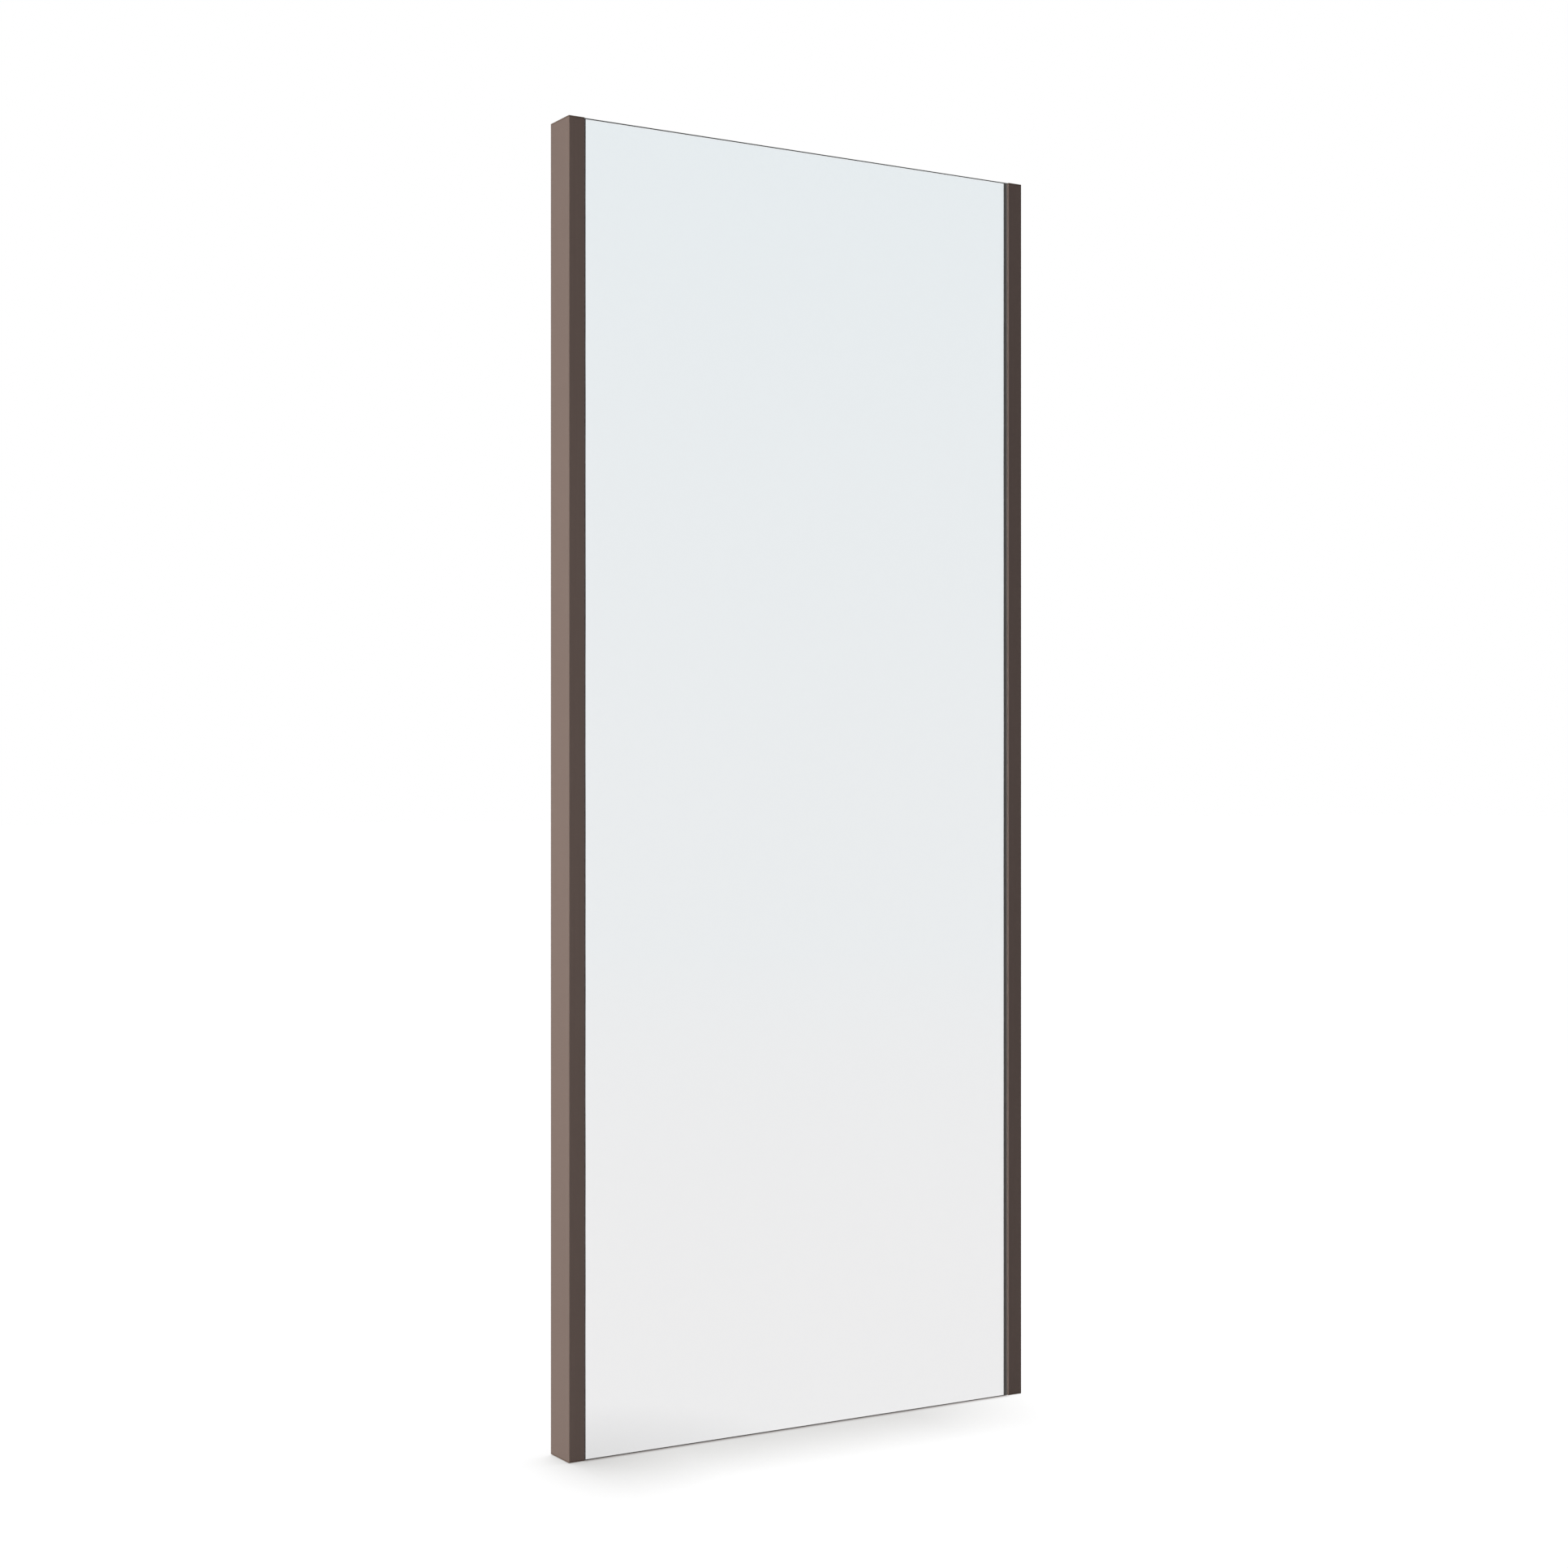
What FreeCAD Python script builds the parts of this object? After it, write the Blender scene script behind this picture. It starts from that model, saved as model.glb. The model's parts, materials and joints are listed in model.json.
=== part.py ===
import FreeCAD, Part
import math
import os

# Wardrobe interior mirror that pulls out and swivels. Millimetres, +Z up.
# The origin lies on the face of the wardrobe's side panel, the plane y = 0, behind the middle
# of the closed mirror. The mirror faces -Y and pulls out towards -X.

# Mirror panel
panel_width = 500.0
panel_height = 1200.0
rear_gap = 1.5

# Stile, the box profile on each long side, and its end caps. The leading stile is as deep as
# the mirror, and the trailing one is shallower, because it passes in front of the slides.
stile_width = 16.0
stile_depth = 37.0
trailing_stile_clearance = 1.8
stile_wall = 1.5
stile_outer_radius = 1.0
stile_inner_radius = 0.4
ledge_reach = 14.0
ledge_thickness = 2.0
cap_thickness = 1.5
cap_plug_length = 12.0
cap_plug_wall = 2.0
cap_plug_clearance = 0.1

# Glass and the layers behind it
glass_thickness = 4.0
glass_recess = 1.0
glass_side_clearance = 0.3
glass_arris = 1.0
silver_thickness = 0.1
film_thickness = 0.2
tape_thickness = 1.0
tape_width = 18.0
tape_count = 4
tape_end_inset = 20.0
board_thickness = 4.0
board_side_clearance = 0.3
board_end_inset = 3.0

# Cross rails between the stiles
rail_height = 30.0
rail_wall = 2.0
rail_end_clearance = 0.2
end_rail_depth = 10.0
end_rail_inset = 10.0
pivot_rail_depth = 22.0
rail_plug_length = 10.0
rail_plug_wall = 2.0
rail_plug_clearance = 0.1

# Corner brackets that hold the rails to the stiles
corner_leg = 20.0
corner_width = 8.0
corner_thickness = 2.0
corner_screw_radius = 1.25
corner_screw_head_radius = 2.5
corner_screw_head_height = 1.5
corner_screw_place_share = 0.6

# Screws that hold the backing board to the ledges of the stiles
board_screw_radius = 1.5
board_screw_head_radius = 3.2
board_screw_head_height = 2.0
board_screw_bite = 3.0
board_screw_inner_shares = (0.2, 0.68)
board_screw_outer_shares = (0.3, 0.8)

# Rubber pads behind the leading stile
pad_radius = 5.0
pad_height_shares = (0.25, 0.85)

# Mounting plates and the strip that joins them. The fixing holes keep to the hole grid of the
# wardrobe's side panel.
plate_thickness = 2.0
plate_side_margin = 3.5
plate_end_margin = 8.0
plate_corner_radius = 6.0
hole_grid_pitch = 32.0
fixing_row_step_count = 16
fixing_end_distance = 14.0
fixing_side_distance = 16.0
fixing_hole_radius = 2.75
spine_offset = 80.0
spine_width = 60.0
spine_lap = 28.0
spine_step_length = 6.0
spine_step_clearance = 2.0
spine_rivet_radius = 2.0
spine_rivet_head_radius = 3.5
spine_rivet_head_height = 1.2
spine_rivet_spacing = 36.0

# Three-member ball slides
slide_length = 300.0
slide_height = 45.0
slide_depth = 12.7
slide_sheet = 1.2
slide_above_fixings = 48.0
outer_rim_setback = 0.5
outer_lip_reach = 1.6
middle_rim_setback = 1.2
middle_lip_reach = 1.2
cage_thickness = 0.6
cage_gap = 0.4
cage_length = 110.0
cage_rim_gap = 0.5
outer_ball_radius = 2.0
inner_ball_radius = 1.5
ball_clearance = 0.05
ball_pocket_clearance = 0.15
ball_count = 8
ball_pitch = 12.0
slide_rivet_radius = 2.0
slide_rivet_shares = (-0.38, 0.0, 0.38)
buffer_length = 6.0
buffer_height = 20.0
buffer_depth = 10.0
buffer_gap = 0.3

# Carriage: a bracket on each slide, joined by the pivot tube
pivot_y = -14.0
tube_radius = 8.0
tube_wall = 1.5
boss_radius = 12.0
boss_height = 40.0
boss_plate_gap = 3.0
bracket_thickness = 3.0
bracket_height = 24.0
bracket_reach = 140.0
bracket_screw_radius = 2.5
bracket_screw_head_radius = 4.5
bracket_screw_head_height = 2.5
bracket_nut_radius = 4.6
bracket_nut_height = 3.0
bracket_screw_offset_shares = (0.14, 0.72)
grub_screw_radius = 2.5
catch_length = 16.0
catch_height = 16.0
strike_thickness = 0.5
strike_overlap = 2.0

# Pivots between the tube and the pivot rails
tube_rail_gap = 8.0
plug_length = 20.0
plug_head_height = 4.0
pin_radius = 4.0
pin_thread_length = 16.0
pin_thread_clearance = 0.03
pin_running_clearance = 0.05
pin_head_radius = 7.0
pin_head_height = 4.5
bush_wall = 2.0
bush_flange_radius = 8.0
bush_flange_height = 2.0
bush_sleeve_length = 6.0
bush_seat_clearance = 0.05
thrust_gap = 0.1

# Driver recess in every screw head, as shares of the head
recess_radius_share = 0.45
recess_depth_share = 0.6
screw_hole_clearance = 0.05

# How far cuts run past a face, and how close two places are when they count as one
overrun = 1.0
same_place = 1e-6

# Places across the depth, from the front of the stiles to the side panel
stile_rear = -rear_gap
stile_front = stile_rear - stile_depth
glass_front = stile_front + glass_recess
silver_front = glass_front + glass_thickness
film_front = silver_front + silver_thickness
tape_front = film_front + film_thickness
board_front = tape_front + tape_thickness
board_rear = board_front + board_thickness
ledge_rear = board_rear + ledge_thickness

# Places of the fixing holes and of the mounting plates
fixing_spacing_z = hole_grid_pitch * fixing_row_step_count
fixing_column_step_count = math.floor((slide_length - 2 * fixing_end_distance) / hole_grid_pitch)
fixing_spacing_x = hole_grid_pitch * fixing_column_step_count
slide_centre_z = fixing_spacing_z / 2 + slide_above_fixings
plate_inner_edge = fixing_spacing_z / 2 - fixing_side_distance
plate_outer_edge = slide_centre_z + slide_height / 2 + plate_side_margin

# Places across the width and height of the panel
half_width = panel_width / 2
half_height = panel_height / 2
inner_wall = half_width - stile_width
stile_end = half_height - cap_thickness
board_half_width = inner_wall - board_side_clearance
board_half_height = half_height - board_end_inset
end_rail_top = half_height - end_rail_inset
end_rail_bottom = end_rail_top - rail_height
pivot_rail_bottom = plate_outer_edge + tube_rail_gap
pivot_rail_top = pivot_rail_bottom + rail_height

# Places of the slides and of the carriage
slide_high_x = inner_wall - ledge_reach
slide_low_x = slide_high_x - slide_length
slide_centre_x = slide_high_x - slide_length / 2
spine_x = slide_low_x + spine_offset
pivot_x = slide_low_x - boss_plate_gap - boss_radius
bracket_end_x = slide_low_x + bracket_reach
slide_front = -plate_thickness - slide_depth
trailing_stile_rear = slide_front - trailing_stile_clearance
bracket_front = slide_front - bracket_thickness
outer_half = slide_height / 2
outer_ball_z = outer_half - slide_sheet - ball_clearance - outer_ball_radius
middle_half = outer_ball_z - outer_ball_radius - ball_clearance
inner_ball_z = middle_half - slide_sheet - ball_clearance - inner_ball_radius
inner_half = inner_ball_z - inner_ball_radius - ball_clearance
outer_cage_web = slide_sheet + cage_gap
middle_web = outer_cage_web + cage_thickness + cage_gap
inner_cage_web = middle_web + slide_sheet + cage_gap
inner_rear = inner_cage_web + cage_thickness + cage_gap
outer_rim = slide_depth - outer_rim_setback
middle_rim = slide_depth - middle_rim_setback
tube_end = plate_outer_edge
plug_top = tube_end + plug_head_height
bush_flange_bottom = pivot_rail_bottom - bush_flange_height
pin_head_bottom = pivot_rail_top + bush_flange_height + thrust_gap

right = FreeCAD.Vector(1, 0, 0)
rearward = FreeCAD.Vector(0, 1, 0)
up = FreeCAD.Vector(0, 0, 1)
centre = FreeCAD.Vector(0, 0, 0)


def block(x_low, x_high, y_low, y_high, z_low, z_high):
    corner = FreeCAD.Vector(x_low, y_low, z_low)
    return Part.makeBox(x_high - x_low, y_high - y_low, z_high - z_low, corner)


def rod(radius, start, direction, length):
    return Part.makeCylinder(radius, length, start, direction)


def ring(outer_radius, inner_radius, start, direction, length):
    return rod(outer_radius, start, direction, length).cut(rod(inner_radius, start, direction, length))


def on_pivot(z):
    return FreeCAD.Vector(pivot_x, pivot_y, z)


def upside_down(shape):
    return shape.mirror(centre, up)


def left_to_right(shape):
    return shape.mirror(centre, right)


def both_halves(solids):
    return list(solids) + [upside_down(solid) for solid in solids]


def all_quarters(solids):
    halves = both_halves(solids)
    return halves + [left_to_right(solid) for solid in halves]


def is_near(value, target):
    return abs(value - target) < same_place


def runs_along(edge, direction):
    return is_near(edge.tangentAt(edge.FirstParameter).cross(direction).Length, 0)


def edges_along(shape, direction):
    return [edge for edge in shape.Edges if runs_along(edge, direction)]


def hexagon(radius, start, direction, length):
    """A six-sided prism whose corners lie on the given radius."""
    across = up if abs(direction.dot(up)) < 0.5 else right
    beside = direction.cross(across)
    turns = [math.pi / 3 * step for step in range(7)]
    corners = [start + across * (radius * math.cos(t)) + beside * (radius * math.sin(t)) for t in turns]
    return Part.Face(Part.makePolygon(corners)).extrude(direction * length)


def screw(seat, direction, shank_radius, shank_length, head_radius, head_height):
    """A screw driven along the direction, with its head standing on the seat."""
    head_start = seat - direction * head_height
    head = rod(head_radius, head_start, direction, head_height)
    shank = rod(shank_radius, seat - direction * (head_height / 2), direction, shank_length + head_height / 2)
    recess_length = head_height * recess_depth_share
    recess = hexagon(head_radius * recess_radius_share, head_start, direction, recess_length)
    return head.fuse(shank).removeSplitter().cut(recess)


def save(name, solids):
    shape = solids[0] if len(solids) == 1 else Part.makeCompound(solids)
    shape.exportStep("parts/" + name + ".step")


def board_screw_seats():
    """Screw seats on the rear of the left stile's ledge, in its upper half, clear of the rails."""
    seat_x = -inner_wall + ledge_reach / 2
    outer_start = pivot_rail_top + corner_leg
    outer_span = end_rail_bottom - corner_leg - outer_start
    heights = [pivot_rail_bottom * share for share in board_screw_inner_shares]
    heights += [outer_start + outer_span * share for share in board_screw_outer_shares]
    return [FreeCAD.Vector(seat_x, ledge_rear, height) for height in heights]


def corner_places():
    """Height of each rail face that carries a corner bracket, with the way the bracket stands."""
    return [(end_rail_bottom, -up), (pivot_rail_top, up)]


def corner_screws_at(face_z, away):
    """Seats and directions of the two screws of one left corner bracket."""
    middle_y = ledge_rear + end_rail_depth / 2
    reach = corner_leg * corner_screw_place_share
    along_rail = FreeCAD.Vector(-inner_wall + reach, middle_y, face_z) + away * corner_thickness
    along_stile = FreeCAD.Vector(-inner_wall + corner_thickness, middle_y, face_z) + away * reach
    return [(along_rail, -away), (along_stile, -right)]


def corner_screw_holes():
    radius = corner_screw_radius + screw_hole_clearance
    holes = []
    for face_z, away in corner_places():
        for seat, direction in corner_screws_at(face_z, away):
            holes.append(rod(radius, seat, direction, corner_thickness + rail_wall + overrun))
    return holes


def board_screw_holes(length):
    radius = board_screw_radius + screw_hole_clearance
    return [rod(radius, seat, -rearward, length) for seat in board_screw_seats()]


def rounded_upright(rear, z_low, z_high):
    """The outside of a left stile, from its front to the given rear, its long edges rounded."""
    upright = block(-half_width, -inner_wall, stile_front, rear, z_low, z_high)
    middle_x = -half_width + stile_width / 2
    outer_edges = [edge for edge in edges_along(upright, up) if edge.CenterOfMass.x < middle_x]
    upright = upright.makeFillet(stile_outer_radius, outer_edges)
    inner_edges = [edge for edge in edges_along(upright, up) if is_near(edge.CenterOfMass.x, -inner_wall)]
    return upright.makeFillet(stile_inner_radius, inner_edges)


def stile_inside(rear, inset, z_low, z_high):
    return block(-half_width + inset, -inner_wall - inset, stile_front + inset, rear - inset, z_low, z_high)


def stile(rear):
    """A left stile: a box profile with a ledge that carries the backing board."""
    profile = rounded_upright(rear, -stile_end, stile_end)
    ledge_start = -inner_wall - stile_wall / 2
    ledge = block(ledge_start, -inner_wall + ledge_reach, board_rear, ledge_rear, -stile_end, stile_end)
    profile = profile.fuse(ledge).removeSplitter()
    hollow = stile_inside(rear, stile_wall, -stile_end, stile_end)
    holes = board_screw_holes(ledge_thickness + overrun) + corner_screw_holes()
    return profile.cut([hollow] + holes + [upside_down(hole) for hole in holes])


def stile_cap(rear):
    """The cap on the top of a left stile, with a hollow plug inside the profile."""
    plate = rounded_upright(rear, stile_end, half_height)
    plug_inset = stile_wall + cap_plug_clearance
    plug = stile_inside(rear, plug_inset, stile_end - cap_plug_length, stile_end)
    plug_hollow = stile_inside(rear, plug_inset + cap_plug_wall, stile_end - cap_plug_length, stile_end)
    return plate.fuse(plug.cut(plug_hollow)).removeSplitter()


def sheet_behind_glass(front, rear):
    glass_half = inner_wall - glass_side_clearance
    return block(-glass_half, glass_half, front, rear, -half_height, half_height)


def mirror_glass():
    """The glass pane, its bare front edges at the top and bottom ground to an arris."""
    pane = sheet_behind_glass(glass_front, silver_front)
    bare_edges = [edge for edge in edges_along(pane, right) if is_near(edge.BoundBox.YMax, glass_front)]
    return pane.makeChamfer(glass_arris, bare_edges)


def tape_strips():
    pitch = 2 * board_half_width / tape_count
    reach = board_half_height - tape_end_inset
    strips = []
    for place in range(tape_count):
        x_low = -board_half_width + pitch * place + (pitch - tape_width) / 2
        strips.append(block(x_low, x_low + tape_width, tape_front, board_front, -reach, reach))
    return strips


def backing_board():
    board = block(
        -board_half_width, board_half_width, board_front, board_rear, -board_half_height, board_half_height
    )
    holes = board_screw_holes(ledge_thickness + board_screw_bite)
    return board.cut(all_quarters(holes))


def board_screws():
    length = ledge_thickness + board_screw_bite
    head = (board_screw_head_radius, board_screw_head_height)
    seats = board_screw_seats()
    return all_quarters([screw(seat, -rearward, board_screw_radius, length, *head) for seat in seats])


def cross_rail(depth, z_low, z_high):
    """A rectangular tube from stile to stile, standing on the rear of the ledges."""
    reach = inner_wall - rail_end_clearance
    tube = block(-reach, reach, ledge_rear, ledge_rear + depth, z_low, z_high)
    hollow = block(
        -reach,
        reach,
        ledge_rear + rail_wall,
        ledge_rear + depth - rail_wall,
        z_low + rail_wall,
        z_high - rail_wall,
    )
    holes = corner_screw_holes()
    return tube.cut([hollow] + holes + [left_to_right(hole) for hole in holes])


def end_rail():
    return cross_rail(end_rail_depth, end_rail_bottom, end_rail_top)


def pivot_rail():
    """The rail that holds the two bushes of one pivot."""
    rail = cross_rail(pivot_rail_depth, pivot_rail_bottom, pivot_rail_top)
    radius = pin_radius + pin_running_clearance + bush_wall + bush_seat_clearance
    return rail.cut(rod(radius, on_pivot(pivot_rail_bottom - overrun), up, rail_height + 2 * overrun))


def rail_end_plugs():
    """Plugs that close the trailing ends of the pivot rails."""
    inset = rail_wall + rail_plug_clearance
    x_high = inner_wall - rail_end_clearance
    x_low = x_high - rail_plug_length
    y_low = ledge_rear + inset
    y_high = ledge_rear + pivot_rail_depth - inset
    z_low = pivot_rail_bottom + inset
    z_high = pivot_rail_top - inset
    outside = block(x_low, x_high, y_low, y_high, z_low, z_high)
    wall = rail_plug_wall
    hollow = block(x_low, x_high - wall, y_low + wall, y_high - wall, z_low + wall, z_high - wall)
    holes = [left_to_right(hole) for hole in corner_screw_holes()]
    return both_halves([outside.cut([hollow] + holes)])


def corner_brackets():
    middle_y = ledge_rear + end_rail_depth / 2
    y_low = middle_y - corner_width / 2
    y_high = middle_y + corner_width / 2
    holes = corner_screw_holes()
    brackets = []
    for face_z, away in corner_places():
        far_z = face_z + away.z * corner_leg
        step_z = face_z + away.z * corner_thickness
        on_rail = block(
            -inner_wall, -inner_wall + corner_leg, y_low, y_high, min(face_z, step_z), max(face_z, step_z)
        )
        on_stile = block(
            -inner_wall, -inner_wall + corner_thickness, y_low, y_high, min(face_z, far_z), max(face_z, far_z)
        )
        brackets.append(on_rail.fuse(on_stile).removeSplitter().cut(holes))
    return all_quarters(brackets)


def corner_screws():
    length = corner_thickness + rail_wall
    head = (corner_screw_head_radius, corner_screw_head_height)
    driven = []
    for face_z, away in corner_places():
        for seat, direction in corner_screws_at(face_z, away):
            driven.append(screw(seat, direction, corner_screw_radius, length, *head))
    return all_quarters(driven)


def rubber_pads():
    middle_x = -half_width + stile_width / 2
    starts = [FreeCAD.Vector(middle_x, stile_rear, half_height * share) for share in pad_height_shares]
    return both_halves([rod(pad_radius, start, rearward, rear_gap) for start in starts])


def slide_depth_at(depth):
    """The y of a place inside the slide, at the given depth in front of the mounting plate."""
    return -plate_thickness - depth


def slide_rivet_starts():
    places = [slide_centre_x + slide_length * share for share in slide_rivet_shares]
    return [FreeCAD.Vector(place, 0, slide_centre_z) for place in places]


def spine_rivet_starts():
    z = plate_inner_edge + spine_lap / 2
    return [FreeCAD.Vector(spine_x + side * spine_rivet_spacing / 2, 0, z) for side in (-1, 1)]


def fixing_hole_starts():
    return [
        FreeCAD.Vector(slide_centre_x + side * fixing_spacing_x / 2, overrun, fixing_spacing_z / 2)
        for side in (-1, 1)
    ]


def mounting_plate():
    """The upper plate, with its fixing holes and the rivet holes of the slide and of the strip."""
    x_low = slide_low_x
    x_high = slide_high_x + plate_end_margin
    plate = block(x_low, x_high, -plate_thickness, 0, plate_inner_edge, plate_outer_edge)
    plate = plate.makeFillet(plate_corner_radius, edges_along(plate, rearward))
    through = plate_thickness + 2 * overrun
    holes = [rod(fixing_hole_radius, start, -rearward, through) for start in fixing_hole_starts()]
    for start in slide_rivet_starts():
        holes.append(rod(slide_rivet_radius, start, -rearward, plate_thickness))
    for start in spine_rivet_starts():
        holes.append(rod(spine_rivet_radius, start, -rearward, plate_thickness))
    return plate.cut(holes)


def spine_strip():
    """The strip that joins both plates, stepped forward at its ends to lap over them."""
    step_top = plate_inner_edge - spine_step_clearance
    step_bottom = step_top - spine_step_length
    strip_end = plate_inner_edge + spine_lap
    rear_side = [(0, step_bottom), (-plate_thickness, step_top), (-plate_thickness, strip_end)]
    front_side = [
        (-2 * plate_thickness, strip_end),
        (-2 * plate_thickness, step_top),
        (-plate_thickness, step_bottom),
    ]
    upper = rear_side + front_side
    lower = [(y, -z) for y, z in reversed(upper)]
    outline = [FreeCAD.Vector(spine_x - spine_width / 2, y, z) for y, z in upper + lower]
    strip = Part.Face(Part.makePolygon(outline + outline[:1])).extrude(right * spine_width)
    through = 2 * plate_thickness + overrun
    holes = [rod(spine_rivet_radius, start, -rearward, through) for start in spine_rivet_starts()]
    return strip.cut(both_halves(holes))


def spine_rivets():
    rivets = []
    for start in spine_rivet_starts():
        shank = rod(spine_rivet_radius, start, -rearward, 2 * plate_thickness)
        head_start = start - rearward * (2 * plate_thickness)
        head = rod(spine_rivet_head_radius, head_start, -rearward, spine_rivet_head_height)
        rivets.append(shank.fuse(head).removeSplitter())
    return both_halves(rivets)


def slide_rivets():
    length = plate_thickness + slide_sheet
    return both_halves([rod(slide_rivet_radius, start, -rearward, length) for start in slide_rivet_starts()])


def slide_bar(y_low, y_high, half):
    """A bar as long as the upper slide, with the given half height about the slide's middle line."""
    return block(slide_low_x, slide_high_x, y_low, y_high, slide_centre_z - half, slide_centre_z + half)


def lipped_channel(web_depth, rim_depth, half, lip_reach):
    """A rolled channel, its web towards the mounting plate and its lips turned in at the rim."""
    web_y = slide_depth_at(web_depth)
    rim_y = slide_depth_at(rim_depth)
    outside = slide_bar(rim_y, web_y, half)
    inside = slide_bar(rim_y + slide_sheet, web_y - slide_sheet, half - slide_sheet)
    mouth = slide_bar(rim_y, rim_y + slide_sheet, half - slide_sheet - lip_reach)
    return outside.cut([inside, mouth])


def slide_outer_member():
    channel = lipped_channel(0, outer_rim, outer_half, outer_lip_reach)
    through = plate_thickness + slide_sheet
    return channel.cut([rod(slide_rivet_radius, start, -rearward, through) for start in slide_rivet_starts()])


def slide_middle_member():
    return lipped_channel(middle_web, middle_rim, middle_half, middle_lip_reach)


def slide_inner_member():
    """The moving channel, its web to the front, with the holes of the bracket screws."""
    rear_y = slide_depth_at(inner_rear)
    outside = slide_bar(slide_front, rear_y, inner_half)
    inside = slide_bar(slide_front + slide_sheet, rear_y, inner_half - slide_sheet)
    return outside.cut([inside] + bracket_screw_holes())


def ball_centres(ball_z, ball_y):
    row_start = slide_centre_x - ball_pitch * (ball_count - 1) / 2
    row_heights = (slide_centre_z - ball_z, slide_centre_z + ball_z)
    row_places = [row_start + ball_pitch * place for place in range(ball_count)]
    return [FreeCAD.Vector(x, ball_y, z) for z in row_heights for x in row_places]


def cage_bar(y_low, y_high, half):
    """A bar as long as a ball cage, with the given half height about the upper slide's middle line."""
    x_low = slide_centre_x - cage_length / 2
    return block(x_low, x_low + cage_length, y_low, y_high, slide_centre_z - half, slide_centre_z + half)


def ball_cage(web_depth, rim_depth, ball_z, ball_radius):
    """A thin channel that keeps the balls of both rows apart."""
    half = ball_z + cage_thickness / 2
    web_y = slide_depth_at(web_depth)
    rim_y = slide_depth_at(rim_depth)
    outside = cage_bar(rim_y, web_y, half)
    inside = cage_bar(rim_y, web_y - cage_thickness, half - cage_thickness)
    pocket_radius = ball_radius + ball_pocket_clearance
    pockets = [
        rod(pocket_radius, place - up * ball_radius, up, 2 * ball_radius)
        for place in ball_centres(ball_z, ball_row_y(web_depth, rim_depth))
    ]
    return outside.cut([inside] + pockets)


def ball_row_y(web_depth, rim_depth):
    return slide_depth_at((web_depth + cage_thickness + rim_depth) / 2)


def balls(web_depth, rim_depth, ball_z, ball_radius):
    places = ball_centres(ball_z, ball_row_y(web_depth, rim_depth))
    return [Part.makeSphere(ball_radius, place) for place in places]


def save_ball_race(name, web_depth, rim_depth, ball_z, ball_radius):
    cage = ball_cage(web_depth, rim_depth, ball_z, ball_radius)
    save(name + "_ball_cage_upper", [cage])
    save(name + "_ball_cage_lower", [upside_down(cage)])
    save(name + "_balls", both_halves(balls(web_depth, rim_depth, ball_z, ball_radius)))


def closing_buffers():
    x_low = slide_high_x + buffer_gap
    buffer = block(
        x_low,
        x_low + buffer_length,
        slide_depth_at(buffer_depth),
        slide_depth_at(0),
        slide_centre_z - buffer_height / 2,
        slide_centre_z + buffer_height / 2,
    )
    return both_halves([buffer])


def bracket_screw_seats():
    places = [slide_low_x + bracket_reach * share for share in bracket_screw_offset_shares]
    return [FreeCAD.Vector(place, bracket_front, slide_centre_z) for place in places]


def bracket_screw_holes():
    radius = bracket_screw_radius + screw_hole_clearance
    return [rod(radius, seat, rearward, bracket_thickness + slide_sheet) for seat in bracket_screw_seats()]


def grub_screw_start():
    return FreeCAD.Vector(pivot_x - boss_radius, pivot_y, slide_centre_z)


def carriage_bracket():
    """A plate on the inner member that ends in a boss around the pivot tube."""
    plate = block(
        pivot_x,
        bracket_end_x,
        bracket_front,
        slide_front,
        slide_centre_z - bracket_height / 2,
        slide_centre_z + bracket_height / 2,
    )
    boss_start = on_pivot(slide_centre_z - boss_height / 2)
    boss = rod(boss_radius, boss_start, up, boss_height)
    tube_hole = rod(tube_radius, boss_start, up, boss_height)
    grub_hole = rod(grub_screw_radius, grub_screw_start(), right, boss_radius)
    return plate.fuse(boss).removeSplitter().cut([tube_hole, grub_hole] + bracket_screw_holes())


def bracket_screws():
    length = bracket_thickness + slide_sheet + bracket_nut_height
    head = (bracket_screw_head_radius, bracket_screw_head_height)
    seats = bracket_screw_seats()
    return both_halves([screw(seat, rearward, bracket_screw_radius, length, *head) for seat in seats])


def bracket_nuts():
    nuts = []
    for seat in bracket_screw_seats():
        start = seat + rearward * (bracket_thickness + slide_sheet)
        nut = hexagon(bracket_nut_radius, start, rearward, bracket_nut_height)
        bore = rod(bracket_screw_radius + screw_hole_clearance, start, rearward, bracket_nut_height)
        nuts.append(nut.cut(bore))
    return both_halves(nuts)


def grub_screws():
    length = boss_radius - tube_radius
    start = grub_screw_start()
    recess = hexagon(grub_screw_radius * recess_radius_share, start, right, length * recess_depth_share)
    cut_back = rod(tube_radius, on_pivot(slide_centre_z - boss_height / 2), up, boss_height)
    body = rod(grub_screw_radius, start + right * (length / 4), right, length)
    return both_halves([body.cut([recess, cut_back])])


def pivot_tube():
    return ring(tube_radius, tube_radius - tube_wall, on_pivot(-tube_end), up, 2 * tube_end)


def tube_plug():
    """The plug in the top of the tube, bored for the pivot pin."""
    shank = rod(tube_radius - tube_wall, on_pivot(tube_end - plug_length), up, plug_length)
    head = rod(tube_radius, on_pivot(tube_end), up, plug_head_height)
    bore_start = plug_top - pin_thread_length
    bore = rod(pin_radius + pin_thread_clearance, on_pivot(bore_start), up, pin_thread_length)
    return shank.fuse(head).removeSplitter().cut(bore)


def pivot_pin():
    """The pin that hangs from its head above the rail and is screwed into the plug."""
    seat = on_pivot(pin_head_bottom)
    length = pin_head_bottom - plug_top + pin_thread_length
    return screw(seat, -up, pin_radius, length, pin_head_radius, pin_head_height)


def friction_washer():
    height = bush_flange_bottom - thrust_gap - plug_top
    return ring(bush_flange_radius, pin_radius + pin_running_clearance, on_pivot(plug_top), up, height)


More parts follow.
